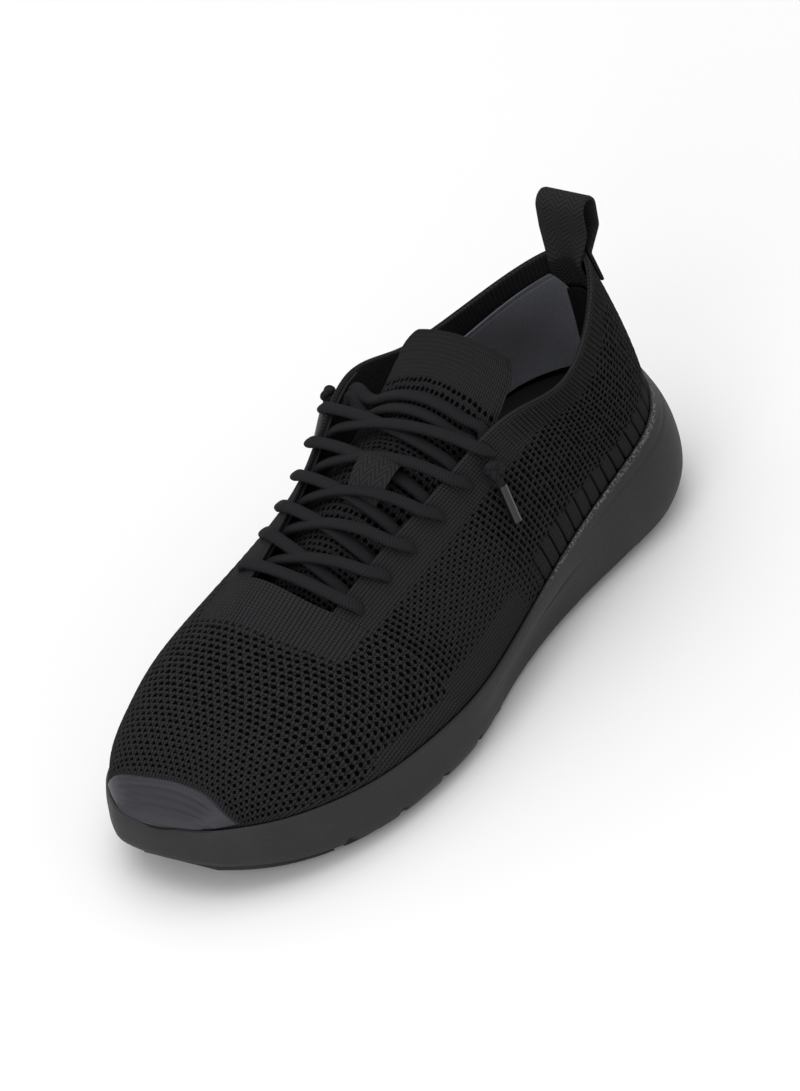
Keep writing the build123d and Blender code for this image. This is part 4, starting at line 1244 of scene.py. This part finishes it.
class ShoeSettings(bpy.types.PropertyGroup):
    """Finish of the shoe."""

    knit_colour: colour_property("Knit", "Colour of the upper's yarn", (0.0112, 0.0112, 0.0119))
    foam_colour: colour_property("Foam", "Colour of the moulded sole", (0.0190, 0.0193, 0.0205))
    bumper_colour: colour_property("Bumper", "Colour of the film over the toe", (0.022, 0.0225, 0.0275))
    lace_colour: colour_property("Lace", "Colour of the braid", (0.0104, 0.0106, 0.0117))
    webbing_colour: colour_property("Webbing", "Colour of the tab and the keeper", (0.013, 0.013, 0.0135))


class ShoeOperator:
    """What every piece's operator shares: it runs build() and raises if that fails."""

    bl_options = {"REGISTER", "UNDO"}

    def execute(self, context):
        self.build()
        return {"FINISHED"}


class SHOE_OT_sole(ShoeOperator, bpy.types.Operator):
    """Build the moulded foam sole"""
    bl_idname = "shoe.sole"
    bl_label = "Sole"

    def build(self):
        make_sole()


class SHOE_OT_toe_bumper(ShoeOperator, bpy.types.Operator):
    """Build the ridged film over the toe"""
    bl_idname = "shoe.toe_bumper"
    bl_label = "Toe bumper"

    def build(self):
        make_toe_bumper()


class SHOE_OT_knit(ShoeOperator, bpy.types.Operator):
    """Build the three panels of the knit upper"""
    bl_idname = "shoe.knit"
    bl_label = "Knit upper"

    def build(self):
        make_knit()


class SHOE_OT_tongue(ShoeOperator, bpy.types.Operator):
    """Build the knit tongue"""
    bl_idname = "shoe.tongue"
    bl_label = "Tongue"

    def build(self):
        make_tongue()


class SHOE_OT_laces(ShoeOperator, bpy.types.Operator):
    """Build the lace, its knots and its ends"""
    bl_idname = "shoe.laces"
    bl_label = "Laces"

    def build(self):
        make_laces()


class SHOE_OT_keeper(ShoeOperator, bpy.types.Operator):
    """Build the lace keeper strap"""
    bl_idname = "shoe.keeper"
    bl_label = "Lace keeper"

    def build(self):
        make_keeper()


class SHOE_OT_pull_tab(ShoeOperator, bpy.types.Operator):
    """Build the webbing pull tab"""
    bl_idname = "shoe.pull_tab"
    bl_label = "Pull tab"

    def build(self):
        make_pull_tab()


class SHOE_OT_linings(ShoeOperator, bpy.types.Operator):
    """Build the heel linings"""
    bl_idname = "shoe.linings"
    bl_label = "Heel linings"

    def build(self):
        make_linings()


class SHOE_OT_dress_frame(ShoeOperator, bpy.types.Operator):
    """Give the frame's own solids their finishes"""
    bl_idname = "shoe.dress_frame"
    bl_label = "Frame finishes"

    def build(self):
        dress_frame()


class SHOE_OT_stage(ShoeOperator, bpy.types.Operator):
    """Build the floor, lights and camera"""
    bl_idname = "shoe.stage"
    bl_label = "Stage"

    def build(self):
        make_floor()
        make_lights()
        make_camera()


class SHOE_PT_panel(bpy.types.Panel):
    """Buttons for each piece and the finish settings."""

    bl_label = "Knit running shoe"
    bl_idname = "SHOE_PT_panel"
    bl_space_type = "VIEW_3D"
    bl_region_type = "UI"
    bl_category = "Shoe"

    def draw(self, context):
        for key in ShoeSettings.__annotations__:
            self.layout.prop(context.scene.shoe, key)
        for operator in OPERATORS:
            self.layout.operator(operator.bl_idname)


OPERATORS = (SHOE_OT_sole, SHOE_OT_toe_bumper, SHOE_OT_knit, SHOE_OT_tongue, SHOE_OT_laces, SHOE_OT_keeper,
             SHOE_OT_pull_tab, SHOE_OT_linings, SHOE_OT_dress_frame, SHOE_OT_stage)
CLASSES = (ShoeSettings, *OPERATORS, SHOE_PT_panel)


def register():
    """Add the classes and the scene's settings."""
    for cls in CLASSES:
        bpy.utils.register_class(cls)
    bpy.types.Scene.shoe = bpy.props.PointerProperty(type=ShoeSettings)


def unregister():
    """Take them away again."""
    del bpy.types.Scene.shoe
    for cls in reversed(CLASSES):
        bpy.utils.unregister_class(cls)


def main():
    """Register, build every piece and the stage."""
    register()
    for operator in OPERATORS:
        getattr(bpy.ops.shoe, operator.bl_idname.split(".")[1])()


if __name__ == "__main__":
    main()
